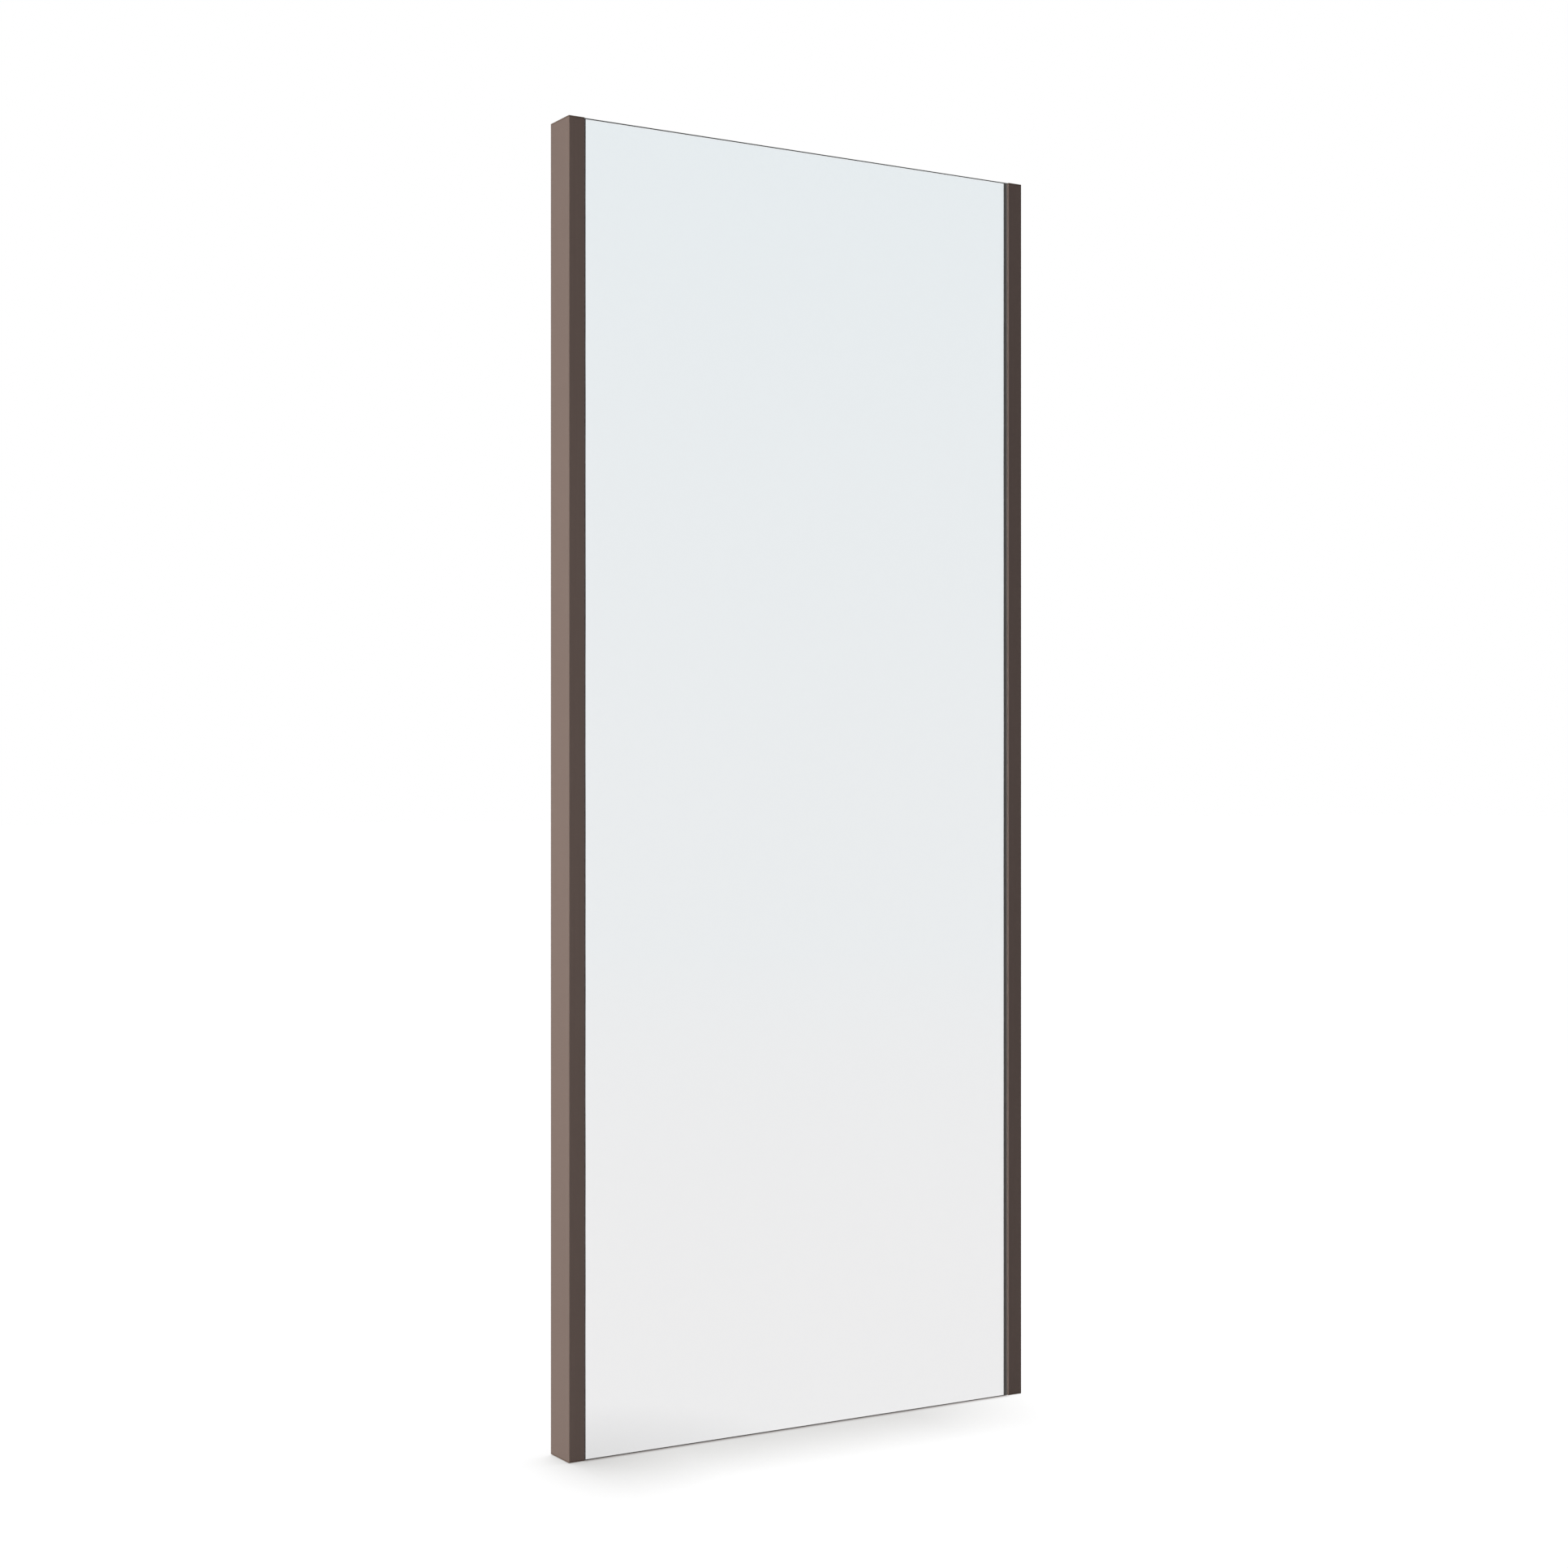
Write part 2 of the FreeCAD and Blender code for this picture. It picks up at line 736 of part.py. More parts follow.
def pivot_bush(flange_z, direction):
    """A flanged bush, its flange outside the rail wall and its sleeve through it."""
    bore_radius = pin_radius + pin_running_clearance
    start = on_pivot(flange_z)
    flange = ring(bush_flange_radius, bore_radius, start, direction, bush_flange_height)
    sleeve_length = bush_flange_height + bush_sleeve_length
    sleeve = ring(bore_radius + bush_wall, bore_radius, start, direction, sleeve_length)
    return flange.fuse(sleeve).removeSplitter()


def pivot_bushes():
    near = pivot_bush(bush_flange_bottom, up)
    far = pivot_bush(pivot_rail_top + bush_flange_height, -up)
    return both_halves([near, far])


def magnet_catches():
    """Magnet blocks at the end of each bracket, which keep the mirror in line with the slides."""
    catch = block(
        bracket_end_x - catch_length,
        bracket_end_x,
        board_rear + strike_thickness,
        bracket_front,
        slide_centre_z - catch_height / 2,
        slide_centre_z + catch_height / 2,
    )
    return both_halves([catch])


def strike_plates():
    strike = block(
        bracket_end_x - catch_length - strike_overlap,
        bracket_end_x + strike_overlap,
        board_rear,
        board_rear + strike_thickness,
        slide_centre_z - catch_height / 2 - strike_overlap,
        slide_centre_z + catch_height / 2 + strike_overlap,
    )
    return both_halves([strike])


def save_upper_and_lower(name, shape):
    save(name + "_upper", [shape])
    save(name + "_lower", [upside_down(shape)])


def save_mirror_panel():
    save("stile_leading", [stile(stile_rear)])
    save("stile_trailing", [left_to_right(stile(trailing_stile_rear))])
    leading_cap = stile_cap(stile_rear)
    save("stile_cap_leading_top", [leading_cap])
    save("stile_cap_leading_bottom", [upside_down(leading_cap)])
    trailing_cap = left_to_right(stile_cap(trailing_stile_rear))
    save("stile_cap_trailing_top", [trailing_cap])
    save("stile_cap_trailing_bottom", [upside_down(trailing_cap)])
    save("mirror_glass", [mirror_glass()])
    save("silver_coating", [sheet_behind_glass(silver_front, film_front)])
    save("safety_film", [sheet_behind_glass(film_front, tape_front)])
    save("bonding_tape", tape_strips())
    save("backing_board", [backing_board()])
    save("board_screws", board_screws())
    save_upper_and_lower("end_rail", end_rail())
    save_upper_and_lower("pivot_rail", pivot_rail())
    save("rail_end_plugs", rail_end_plugs())
    save("corner_brackets", corner_brackets())
    save("corner_screws", corner_screws())
    save("rubber_pads", rubber_pads())
    save("pivot_bushes", pivot_bushes())
    save("strike_plates", strike_plates())


def save_side_mount():
    save_upper_and_lower("mounting_plate", mounting_plate())
    save("spine_strip", [spine_strip()])
    save("spine_rivets", spine_rivets())
    save_upper_and_lower("slide_outer_member", slide_outer_member())
    save("slide_rivets", slide_rivets())
    save("closing_buffers", closing_buffers())


def save_slide_inside():
    save_upper_and_lower("slide_middle_member", slide_middle_member())
    rim_inset = slide_sheet + cage_rim_gap
    save_ball_race("outer", outer_cage_web, outer_rim - rim_inset, outer_ball_z, outer_ball_radius)
    save_ball_race("inner", inner_cage_web, middle_rim - rim_inset, inner_ball_z, inner_ball_radius)


def save_carriage():
    save_upper_and_lower("slide_inner_member", slide_inner_member())
    save_upper_and_lower("carriage_bracket", carriage_bracket())
    save("bracket_screws", bracket_screws())
    save("bracket_nuts", bracket_nuts())
    save("grub_screws", grub_screws())
    save("pivot_tube", [pivot_tube()])
    save_upper_and_lower("tube_plug", tube_plug())
    save_upper_and_lower("pivot_pin", pivot_pin())
    save_upper_and_lower("friction_washer", friction_washer())
    save("magnet_catches", magnet_catches())


os.makedirs("parts", exist_ok=True)
save_mirror_panel()
save_side_mount()
save_slide_inside()
save_carriage()
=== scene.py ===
import json
import math

import bmesh
import bpy
import numpy as np
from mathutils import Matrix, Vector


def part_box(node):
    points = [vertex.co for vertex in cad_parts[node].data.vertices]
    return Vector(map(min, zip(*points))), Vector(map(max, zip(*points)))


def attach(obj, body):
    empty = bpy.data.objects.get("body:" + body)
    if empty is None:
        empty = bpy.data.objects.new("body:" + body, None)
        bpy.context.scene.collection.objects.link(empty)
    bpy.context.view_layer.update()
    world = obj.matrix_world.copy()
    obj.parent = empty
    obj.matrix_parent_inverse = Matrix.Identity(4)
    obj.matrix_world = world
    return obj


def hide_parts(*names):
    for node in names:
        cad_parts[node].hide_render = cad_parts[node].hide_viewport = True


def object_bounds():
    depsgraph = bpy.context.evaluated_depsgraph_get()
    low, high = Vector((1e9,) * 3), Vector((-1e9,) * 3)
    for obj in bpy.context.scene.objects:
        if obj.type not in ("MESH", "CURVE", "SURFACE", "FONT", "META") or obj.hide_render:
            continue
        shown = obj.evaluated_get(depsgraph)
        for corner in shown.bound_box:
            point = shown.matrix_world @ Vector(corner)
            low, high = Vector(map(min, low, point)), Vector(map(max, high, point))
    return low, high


# Wardrobe interior mirror between bronze box stiles, on ball slides and a vertical pivot.
# Metres, +Z up. The mirror faces -Y, and the wardrobe's side panel is the plane y = 0.

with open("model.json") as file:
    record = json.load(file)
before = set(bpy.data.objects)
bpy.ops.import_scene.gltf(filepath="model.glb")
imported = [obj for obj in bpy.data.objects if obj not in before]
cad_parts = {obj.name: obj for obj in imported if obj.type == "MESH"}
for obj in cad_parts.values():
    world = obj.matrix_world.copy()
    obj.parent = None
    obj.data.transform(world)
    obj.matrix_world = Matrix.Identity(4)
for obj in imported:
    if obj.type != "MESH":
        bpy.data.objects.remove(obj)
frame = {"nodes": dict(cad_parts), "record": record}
cadBox = [list(corner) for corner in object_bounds()]
record = frame["record"]
bodyOfNode = {node: body for body, nodes in record["behaviour"]["bodies"].items() for node in nodes}
slotOfNode = {part["node"]: part["material_slot"] for part in record["subparts"]}
print("frame loaded:", len(bodyOfNode), "nodes")


# Small helpers for node trees

def srgb(red, green, blue):
    # Linear light of a colour given as it looks, from 0 to 255: ((c + 0.055) / 1.055) to the power 2.4.
    share = (np.array([red, green, blue]) / 255 + 0.055) / 1.055
    return tuple(share ** 2.4) + (1.0,)


def addNode(tree, kind, inputs=None, **settings):
    # Each input takes another node's output or a plain value.
    node = tree.nodes.new(kind)
    for key, value in settings.items():
        setattr(node, key, value)
    for socket, value in (inputs or {}).items():
        if isinstance(value, bpy.types.NodeSocket):
            tree.links.new(value, node.inputs[socket])
        else:
            node.inputs[socket].default_value = value
    return node


def newMaterial(name):
    material = bpy.data.materials.new(name)
    material.use_nodes = True
    material.node_tree.nodes.clear()
    return material, material.node_tree


def finishWith(tree, shader):
    addNode(tree, "ShaderNodeOutputMaterial", {"Surface": shader.outputs[0]})


def mixShader(tree, share, first, second):
    return addNode(tree, "ShaderNodeMixShader", {0: share, 1: first.outputs[0], 2: second.outputs[0]})


def mathNode(tree, operation, *values):
    return addNode(tree, "ShaderNodeMath", dict(enumerate(values)), operation=operation).outputs[0]


def rangeNode(tree, value, fromLow, fromHigh, toLow, toHigh):
    # A straight line from toLow at fromLow to toHigh at fromHigh, held beyond both.
    inputs = {"Value": value, "From Min": fromLow, "From Max": fromHigh, "To Min": toLow, "To Max": toHigh}
    return addNode(tree, "ShaderNodeMapRange", inputs).outputs["Result"]


def mixColour(tree, share, first, second, blend="MIX"):
    inputs = {0: share, 6: first, 7: second}
    return addNode(tree, "ShaderNodeMix", inputs, data_type="RGBA", blend_type=blend).outputs[2]


def objectPlace(tree, stretch=(1, 1, 1)):
    # Place on the piece in metres, each axis multiplied by its stretch.
    place = addNode(tree, "ShaderNodeTexCoord").outputs["Object"]
    return addNode(tree, "ShaderNodeMapping", {"Vector": place, "Scale": stretch}).outputs["Vector"]


def noiseAt(tree, place, scale, detail=3.0, roughness=0.5):
    inputs = {"Vector": place, "Scale": scale, "Detail": detail, "Roughness": roughness}
    return addNode(tree, "ShaderNodeTexNoise", inputs).outputs["Fac"]


# Nearly all of a noise's values lie in the wide range, and the bulk in the narrow one. A side counts as
# flat where its normal's largest share passes the flat share.
wideNoise, narrowNoise, flatShare = (0.3, 0.7), (0.35, 0.65), 0.995
white = (1.0, 1.0, 1.0, 1.0)


def axisShares(tree):
    # How far the surface faces along each of the piece's own axes, from 0 to 1.
    normal = addNode(tree, "ShaderNodeTexCoord").outputs["Normal"]
    parts = addNode(tree, "ShaderNodeSeparateXYZ", {"Vector": normal})
    return [mathNode(tree, "ABSOLUTE", parts.outputs[axis]) for axis in range(3)]


def cornerMask(tree, softness):
    # 1 where the normal points between two axes, as on a rounded edge, and 0 on a flat side.
    acrossX, acrossY, acrossZ = axisShares(tree)
    largest = mathNode(tree, "MAXIMUM", mathNode(tree, "MAXIMUM", acrossX, acrossY), acrossZ)
    return rangeNode(tree, largest, flatShare, 1 - softness, 0.0, 1.0)


def bumped(tree, height, strength, depth, under=None):
    inputs = {"Height": height, "Strength": strength, "Distance": depth}
    if under is not None:
        inputs["Normal"] = under
    return addNode(tree, "ShaderNodeBump", inputs).outputs["Normal"]


# Finishes. Each look is one dictionary: colours as they look, shares of variation, and grain sizes in
# repeats per metre. A bump is its strength and its depth.

def plainFinish(name, look):
    # Colour = base x broad noise x grain noise, towards the worn colour at rounded edges. Roughness
    # follows the grain. The bump's height = grain noise, then a finer noise on top.
    material, tree = newMaterial(name)
    grainPlace = objectPlace(tree, look["grainStretch"])
    grain = noiseAt(tree, grainPlace, look["grainScale"], 4.0)
    broad = noiseAt(tree, objectPlace(tree), look["broadScale"], 2.0)
    broadTone = rangeNode(tree, broad, *wideNoise, 1 - look["broadShare"], 1 + look["broadShare"])
    grainTone = rangeNode(tree, grain, *wideNoise, 1 - look["grainShare"], 1 + look["grainShare"])
    tone = mathNode(tree, "MULTIPLY", broadTone, grainTone)
    colour = mixColour(tree, 1.0, srgb(*look["base"]), tone, "MULTIPLY")
    if look.get("worn"):
        patches = rangeNode(tree, grain, *wearPatches)
        wear = mathNode(tree, "MULTIPLY", cornerMask(tree, look["wornSoftness"]), patches)
        wear = mathNode(tree, "MULTIPLY", wear, look["wornShare"])
        colour = mixColour(tree, wear, colour, srgb(*look["worn"]))
    roughness = rangeNode(tree, grain, *wideNoise, *look["roughness"])
    fine = noiseAt(tree, objectPlace(tree), look["fineScale"], 2.0)
    normal = bumped(tree, grain, look["grainBump"], look["bumpDepth"])
    normal = bumped(tree, fine, look["fineBump"], look["bumpDepth"], normal)
    shader = addNode(tree, "ShaderNodeBsdfPrincipled", {
        "Base Color": colour, "Roughness": roughness, "Metallic": look["metallic"],
        "Specular IOR Level": look["specular"], "Normal": normal})
    finishWith(tree, shader)
    return material


# Directions of the grain, as stretches of the place, and how far wear shows over the grain's values. What a
# look doesn't name is in the common look.
upright, lengthways, evenly = (1, 1, 0.015), (0.015, 1, 1), (1, 1, 1)
wearPatches = (0.35, 0.6, 0.25, 1.0)
commonLook = {
    "wornSoftness": 0.2, "grainStretch": evenly, "bumpDepth": 0.0002, "metallic": 0.0, "specular": 0.5,
}
finishLooks = {
    "bronze_lacquer": {
        "base": (129, 113, 106), "worn": (144, 127, 118), "wornShare": 0.5,
        "broadScale": 5.0, "broadShare": 0.025,
        "grainStretch": upright, "grainScale": 420.0, "grainShare": 0.02,
        "grainBump": 0.04, "fineScale": 2600.0, "fineBump": 0.08, "roughness": (0.5, 0.6), "specular": 0.05,
    },
    "bronze_cap": {
        "base": (116, 99, 90), "worn": (130, 114, 104), "wornShare": 0.4,
        "broadScale": 40.0, "broadShare": 0.03, "grainScale": 1500.0, "grainShare": 0.03,
        "grainBump": 0.2, "fineScale": 3800.0, "fineBump": 0.1, "roughness": (0.55, 0.7), "specular": 0.05,
    },
    "plain_aluminium": {
        "base": (188, 190, 192), "worn": (208, 209, 210), "wornShare": 0.5,
        "broadScale": 9.0, "broadShare": 0.04,
        "grainStretch": lengthways, "grainScale": 900.0, "grainShare": 0.06,
        "grainBump": 0.12, "fineScale": 3000.0, "fineBump": 0.05, "roughness": (0.3, 0.48), "metallic": 1.0,
    },
    "ball_steel": {
        "base": (206, 207, 209),
        "broadScale": 60.0, "broadShare": 0.03, "grainScale": 900.0, "grainShare": 0.03,
        "grainBump": 0.02, "fineScale": 4000.0, "fineBump": 0.02, "bumpDepth": 0.0001,
        "roughness": (0.08, 0.2), "metallic": 1.0,
    },
    "nylon": {
        "base": (226, 223, 212), "worn": (236, 234, 226), "wornShare": 0.3,
        "broadScale": 35.0, "broadShare": 0.03, "grainScale": 700.0, "grainShare": 0.02,
        "grainBump": 0.06, "fineScale": 2600.0, "fineBump": 0.05, "roughness": (0.4, 0.52), "specular": 0.4,
    },
    "black_rubber": {
        "base": (40, 39, 39), "worn": (66, 64, 62), "wornSoftness": 0.25, "wornShare": 0.5,
        "broadScale": 80.0, "broadShare": 0.12, "grainScale": 1100.0, "grainShare": 0.1,
        "grainBump": 0.25, "fineScale": 3500.0, "fineBump": 0.15, "roughness": (0.7, 0.9), "specular": 0.3,
    },
    "catch_housing": {
        "base": (44, 44, 46), "worn": (74, 74, 77), "wornSoftness": 0.25, "wornShare": 0.5,
        "broadScale": 60.0, "broadShare": 0.06, "grainScale": 1700.0, "grainShare": 0.08,
        "grainBump": 0.3, "fineScale": 4200.0, "fineBump": 0.15, "roughness": (0.45, 0.6), "specular": 0.4,
    },
    "black_screws": {
        "base": (62, 61, 64), "worn": (120, 118, 118), "wornSoftness": 0.4, "wornShare": 0.35,
        "broadScale": 120.0, "broadShare": 0.08, "grainScale": 1500.0, "grainShare": 0.08,
        "grainBump": 0.08, "fineScale": 4000.0, "fineBump": 0.05, "bumpDepth": 0.0001,
        "roughness": (0.32, 0.5), "metallic": 0.9,
    },
}

finishes = {slot: plainFinish(slot, {**commonLook, **look}) for slot, look in finishLooks.items()}


def zincFinish(look):
    # Colour = tint x crystal cells x rolling lines, towards the worn colour at rounded edges. The tint
    # goes from cool to warm in broad patches of passivation.
    material, tree = newMaterial("zinc_steel")
    cells = addNode(tree, "ShaderNodeTexVoronoi", {"Vector": objectPlace(tree), "Scale": look["cellScale"]})
    cellTone = rangeNode(tree, cells.outputs["Color"], 0.0, 1.0, *look["cellTone"])
    lines = noiseAt(tree, objectPlace(tree, lengthways), look["lineScale"], 4.0)
    lineTone = rangeNode(tree, lines, *wideNoise, *look["lineTone"])
    passivation = noiseAt(tree, objectPlace(tree), look["tintScale"], 3.0)
    warmth = rangeNode(tree, passivation, *look["tintRange"], 0.0, 1.0)
    tint = mixColour(tree, warmth, srgb(*look["cool"]), srgb(*look["warm"]))
    tone = mathNode(tree, "MULTIPLY", cellTone, lineTone)
    colour = mixColour(tree, 1.0, tint, tone, "MULTIPLY")
    wear = mathNode(tree, "MULTIPLY", cornerMask(tree, look["wornSoftness"]), look["wornShare"])
    colour = mixColour(tree, wear, colour, srgb(*look["worn"]))
    roughness = rangeNode(tree, lines, *wideNoise, *look["roughness"])
    shader = addNode(tree, "ShaderNodeBsdfPrincipled", {
        "Base Color": colour, "Roughness": roughness, "Metallic": 1.0,
        "Normal": bumped(tree, lines, *look["bump"])})
    finishWith(tree, shader)
    return material


finishes["zinc_steel"] = zincFinish({
    "cool": (171, 175, 180), "warm": (180, 179, 174), "tintScale": 22.0, "tintRange": (0.4, 0.6),
    "worn": (204, 204, 204), "wornSoftness": 0.2, "wornShare": 0.5,
    "cellScale": 260.0, "cellTone": (0.95, 1.05),
    "lineScale": 700.0, "lineTone": (0.93, 1.07), "roughness": (0.32, 0.46), "bump": (0.12, 0.0002),
})


def boardFinish(look):
    # Facing on the sides across y: dark melamine with a pearl texture. Cut edges: bare fibres. The normal
    # tells them apart.
    material, tree = newMaterial("backing_board")
    pearl = noiseAt(tree, objectPlace(tree), look["pearlScale"], 3.0)
    broad = noiseAt(tree, objectPlace(tree), look["broadScale"], 3.0)
    facingTone = rangeNode(tree, broad, *wideNoise, *look["facingTone"])
    facing = mixColour(tree, 1.0, srgb(*look["facing"]), facingTone, "MULTIPLY")
    fibres = noiseAt(tree, objectPlace(tree, look["fibreStretch"]), look["fibreScale"], 5.0, 0.7)
    fibreTone = rangeNode(tree, fibres, *narrowNoise, 0.0, 1.0)
    cut = mixColour(tree, fibreTone, srgb(*look["fibreDark"]), srgb(*look["fibre"]))
    isCut = rangeNode(tree, axisShares(tree)[1], *look["facingRange"], 0.0, 1.0)
    colour = mixColour(tree, isCut, facing, cut)
    roughness = rangeNode(tree, isCut, 0.0, 1.0, *look["roughness"])
    height = mathNode(tree, "ADD", pearl, mathNode(tree, "MULTIPLY", fibres, isCut))
    shader = addNode(tree, "ShaderNodeBsdfPrincipled", {
        "Base Color": colour, "Roughness": roughness, "Specular IOR Level": look["specular"],
        "Normal": bumped(tree, height, *look["bump"])})
    finishWith(tree, shader)
    return material


finishes["backing_board"] = boardFinish({
    "facing": (88, 79, 72), "facingTone": (0.94, 1.06), "pearlScale": 1400.0, "broadScale": 7.0,
    "fibre": (168, 138, 102), "fibreDark": (118, 92, 64),
    "fibreScale": 900.0, "fibreStretch": (0.3, 1, 0.3), "facingRange": (0.7, 0.5),
    "roughness": (0.55, 0.9), "specular": 0.3, "bump": (0.2, 0.0002),
})


def filmFinish(look):
    # Grey film with a scrim of threads along x and z: thread = the top of sin(2 pi place / pitch).
    material, tree = newMaterial("safety_film")
    place = addNode(tree, "ShaderNodeSeparateXYZ", {"Vector": objectPlace(tree)})
    threads = [
        mathNode(tree, "SINE", mathNode(tree, "MULTIPLY", place.outputs[axis], 2 * math.pi / look["pitch"]))
        for axis in (0, 2)
    ]
    weave = rangeNode(tree, mathNode(tree, "MAXIMUM", *threads), look["threadFrom"], 1.0, 0.0, 1.0)
    cloud = noiseAt(tree, objectPlace(tree), look["cloudScale"], 3.0)
    cloudTone = rangeNode(tree, cloud, *narrowNoise, 0.0, 1.0)
    ground = mixColour(tree, cloudTone, srgb(*look["film"]), srgb(*look["filmLight"]))
    threadShare = mathNode(tree, "MULTIPLY", weave, look["threadShare"])
    colour = mixColour(tree, threadShare, ground, srgb(*look["thread"]))
    shader = addNode(tree, "ShaderNodeBsdfPrincipled", {
        "Base Color": colour, "Roughness": rangeNode(tree, cloud, *wideNoise, *look["roughness"]),
        "Normal": bumped(tree, weave, *look["bump"])})
    finishWith(tree, shader)
    return material


finishes["safety_film"] = filmFinish({
    "film": (150, 156, 160), "filmLight": (166, 171, 175), "cloudScale": 12.0, "roughness": (0.4, 0.5),
    "thread": (200, 203, 205), "threadShare": 0.6, "threadFrom": 0.8, "pitch": 0.006, "bump": (0.3, 0.0001),
})


def foamFinish(look):
    # Black foam: each cell is a Voronoi distance, dented in its middle, where the colour darkens as painted
    # shade in the pore.
    material, tree = newMaterial("foam_tape")
    cells = addNode(tree, "ShaderNodeTexVoronoi", {"Vector": objectPlace(tree), "Scale": look["cellScale"]})
    depth = rangeNode(tree, cells.outputs["Distance"], 0.0, look["poreReach"], 0.0, 1.0)
    colour = mixColour(tree, depth, srgb(*look["poreShade"]), srgb(*look["skin"]))
    shader = addNode(tree, "ShaderNodeBsdfPrincipled", {
        "Base Color": colour, "Roughness": rangeNode(tree, depth, 0.0, 1.0, *look["roughness"]),
        "Specular IOR Level": look["specular"], "Normal": bumped(tree, depth, *look["bump"])})
    finishWith(tree, shader)
    return material


finishes["foam_tape"] = foamFinish({
    # The dark pore colour is painted shade in the dented middle of each cell.
    "poreShade": (18, 18, 18), "skin": (48, 48, 49), "cellScale": 1300.0, "poreReach": 0.6,
    "roughness": (0.95, 0.8), "specular": 0.2, "bump": (0.5, 0.0003),
})


def clearGlassFinish(look):
    # Clear float glass for what is seen through it. Lamps and soft light pass it straight, so that what
    # lies behind it is lit.
    material, tree = newMaterial("clear_glass")
    streaks = noiseAt(tree, objectPlace(tree, look["streakStretch"]), look["streakScale"], 2.0)
    tint = mixColour(tree, rangeNode(tree, streaks, *wideNoise, 0.0, 1.0), look["tint"], look["tintDeep"])
    glass = addNode(tree, "ShaderNodeBsdfPrincipled", {
        "Base Color": tint, "Roughness": 0.0, "IOR": look["ior"], "Transmission Weight": 1.0})
    passes = addNode(tree, "ShaderNodeBsdfTransparent", {"Color": look["tint"]})
    rays = addNode(tree, "ShaderNodeLightPath")
    isLight = mathNode(tree, "MAXIMUM", rays.outputs["Is Shadow Ray"], rays.outputs["Is Diffuse Ray"])
    finishWith(tree, mixShader(tree, isLight, glass, passes))
    return material


finishes["clear_glass"] = clearGlassFinish({
    "tint": (0.985, 0.995, 0.992, 1.0), "tintDeep": (0.98, 0.993, 0.989, 1.0), "ior": 1.52,
    "streakScale": 3.0, "streakStretch": (1, 1, 0.2),
})


def groundGlassFinish(look):
    # The matt ground arris at each end of the glass: grey, darker in the grinding marks, which run along
    # X. Seen from inside the glass it is wet and clear.
    material, tree = newMaterial("ground_glass")
    marks = noiseAt(tree, objectPlace(tree, look["markStretch"]), look["markScale"], 5.0, 0.65)
    broad = noiseAt(tree, objectPlace(tree), look["broadScale"], 2.0)
    markTone = rangeNode(tree, marks, *narrowNoise, 0.0, 1.0)
    colour = mixColour(tree, markTone, srgb(*look["mark"]), srgb(*look["ground"]))
    tone = rangeNode(tree, broad, *narrowNoise, *look["broadTone"])
    colour = mixColour(tree, 1.0, colour, tone, "MULTIPLY")
    shader = addNode(tree, "ShaderNodeBsdfPrincipled", {
        "Base Color": colour, "Roughness": rangeNode(tree, marks, *wideNoise, *look["roughness"]),
        "Specular IOR Level": look["specular"], "Normal": bumped(tree, marks, *look["bump"])})
    clear = addNode(tree, "ShaderNodeBsdfTransparent")
    inside = addNode(tree, "ShaderNodeNewGeometry").outputs["Backfacing"]
    finishWith(tree, mixShader(tree, inside, shader, clear))
    return material


groundGlass = groundGlassFinish({
    "ground": (118, 118, 117), "mark": (92, 92, 91), "markScale": 1500.0, "markStretch": (0.08, 1, 1),
    "broadScale": 4.0, "broadTone": (0.7, 1.3), "roughness": (0.55, 0.75), "specular": 0.3,
    "bump": (0.3, 0.0001),
})


def cutSideFinish(look):
    # The glass's long edges beside the stiles, wet with sealant: mostly clear, with patches of dull film.
    material, tree = newMaterial("cut_side_glass")
    patches = noiseAt(tree, objectPlace(tree, look["patchStretch"]), look["patchScale"], 3.0)
    colour = mixColour(tree, patches, srgb(*look["dark"]), srgb(*look["light"]))
    dull = addNode(tree, "ShaderNodeBsdfPrincipled", {"Base Color": colour, "Roughness": look["roughness"]})
    clear = addNode(tree, "ShaderNodeBsdfTransparent")
    share = rangeNode(tree, patches, *wideNoise, *look["dullShare"])
    finishWith(tree, mixShader(tree, share, clear, dull))
    return material


cutSideGlass = cutSideFinish({
    "dark": (40, 38, 36), "light": (70, 66, 62), "roughness": 0.6, "patchScale": 60.0,
    "patchStretch": (1, 1, 0.1), "dullShare": (0.12, 0.25),
})


def silverFinish(look):
    # Silver reflects all but a few percent. Near the edges it gives way to the dark edge seal, which is 1
    # where the place across or the height, less the silver's middle, passes its half width or half height.
    # Beside the stiles the dark band is partly the real seal and partly painted shade of the gap between
    # glass and stile.
    material, tree = newMaterial("silver")
    place = addNode(tree, "ShaderNodeSeparateXYZ", {"Vector": objectPlace(tree)})
    acrossMiddle, aboveMiddle = [
        mathNode(tree, "ABSOLUTE", mathNode(tree, "SUBTRACT", place.outputs[axis], middle))
        for axis, middle in zip((0, 2), look["middle"])
    ]
    ripple = noiseAt(tree, objectPlace(tree, look["rippleStretch"]), look["rippleScale"], 2.0)
    halfWidth, halfHeight = look["half"]
    sealAndShadeStart = rangeNode(tree, ripple, *wideNoise, halfWidth - look["rippleDepth"], halfWidth)
    atSide = mathNode(tree, "GREATER_THAN", acrossMiddle, sealAndShadeStart)
    atEnd = mathNode(tree, "GREATER_THAN", aboveMiddle, halfHeight)
    isSealAndGapShade = mathNode(tree, "MAXIMUM", atSide, atEnd)
    clouds = noiseAt(tree, objectPlace(tree), look["cloudScale"], 2.0)
    silverColour = mixColour(tree, clouds, look["silver"], look["silverDeep"])
    silver = addNode(tree, "ShaderNodeBsdfPrincipled", {
        "Base Color": silverColour, "Metallic": 1.0, "Roughness": 0.0})
    sealColour = mixColour(tree, ripple, srgb(*look["seal"]), srgb(*look["sealLight"]))
    seal = addNode(tree, "ShaderNodeBsdfPrincipled", {
        "Base Color": sealColour, "Roughness": look["sealRoughness"]})
    finishWith(tree, mixShader(tree, isSealAndGapShade, silver, seal))
    return material


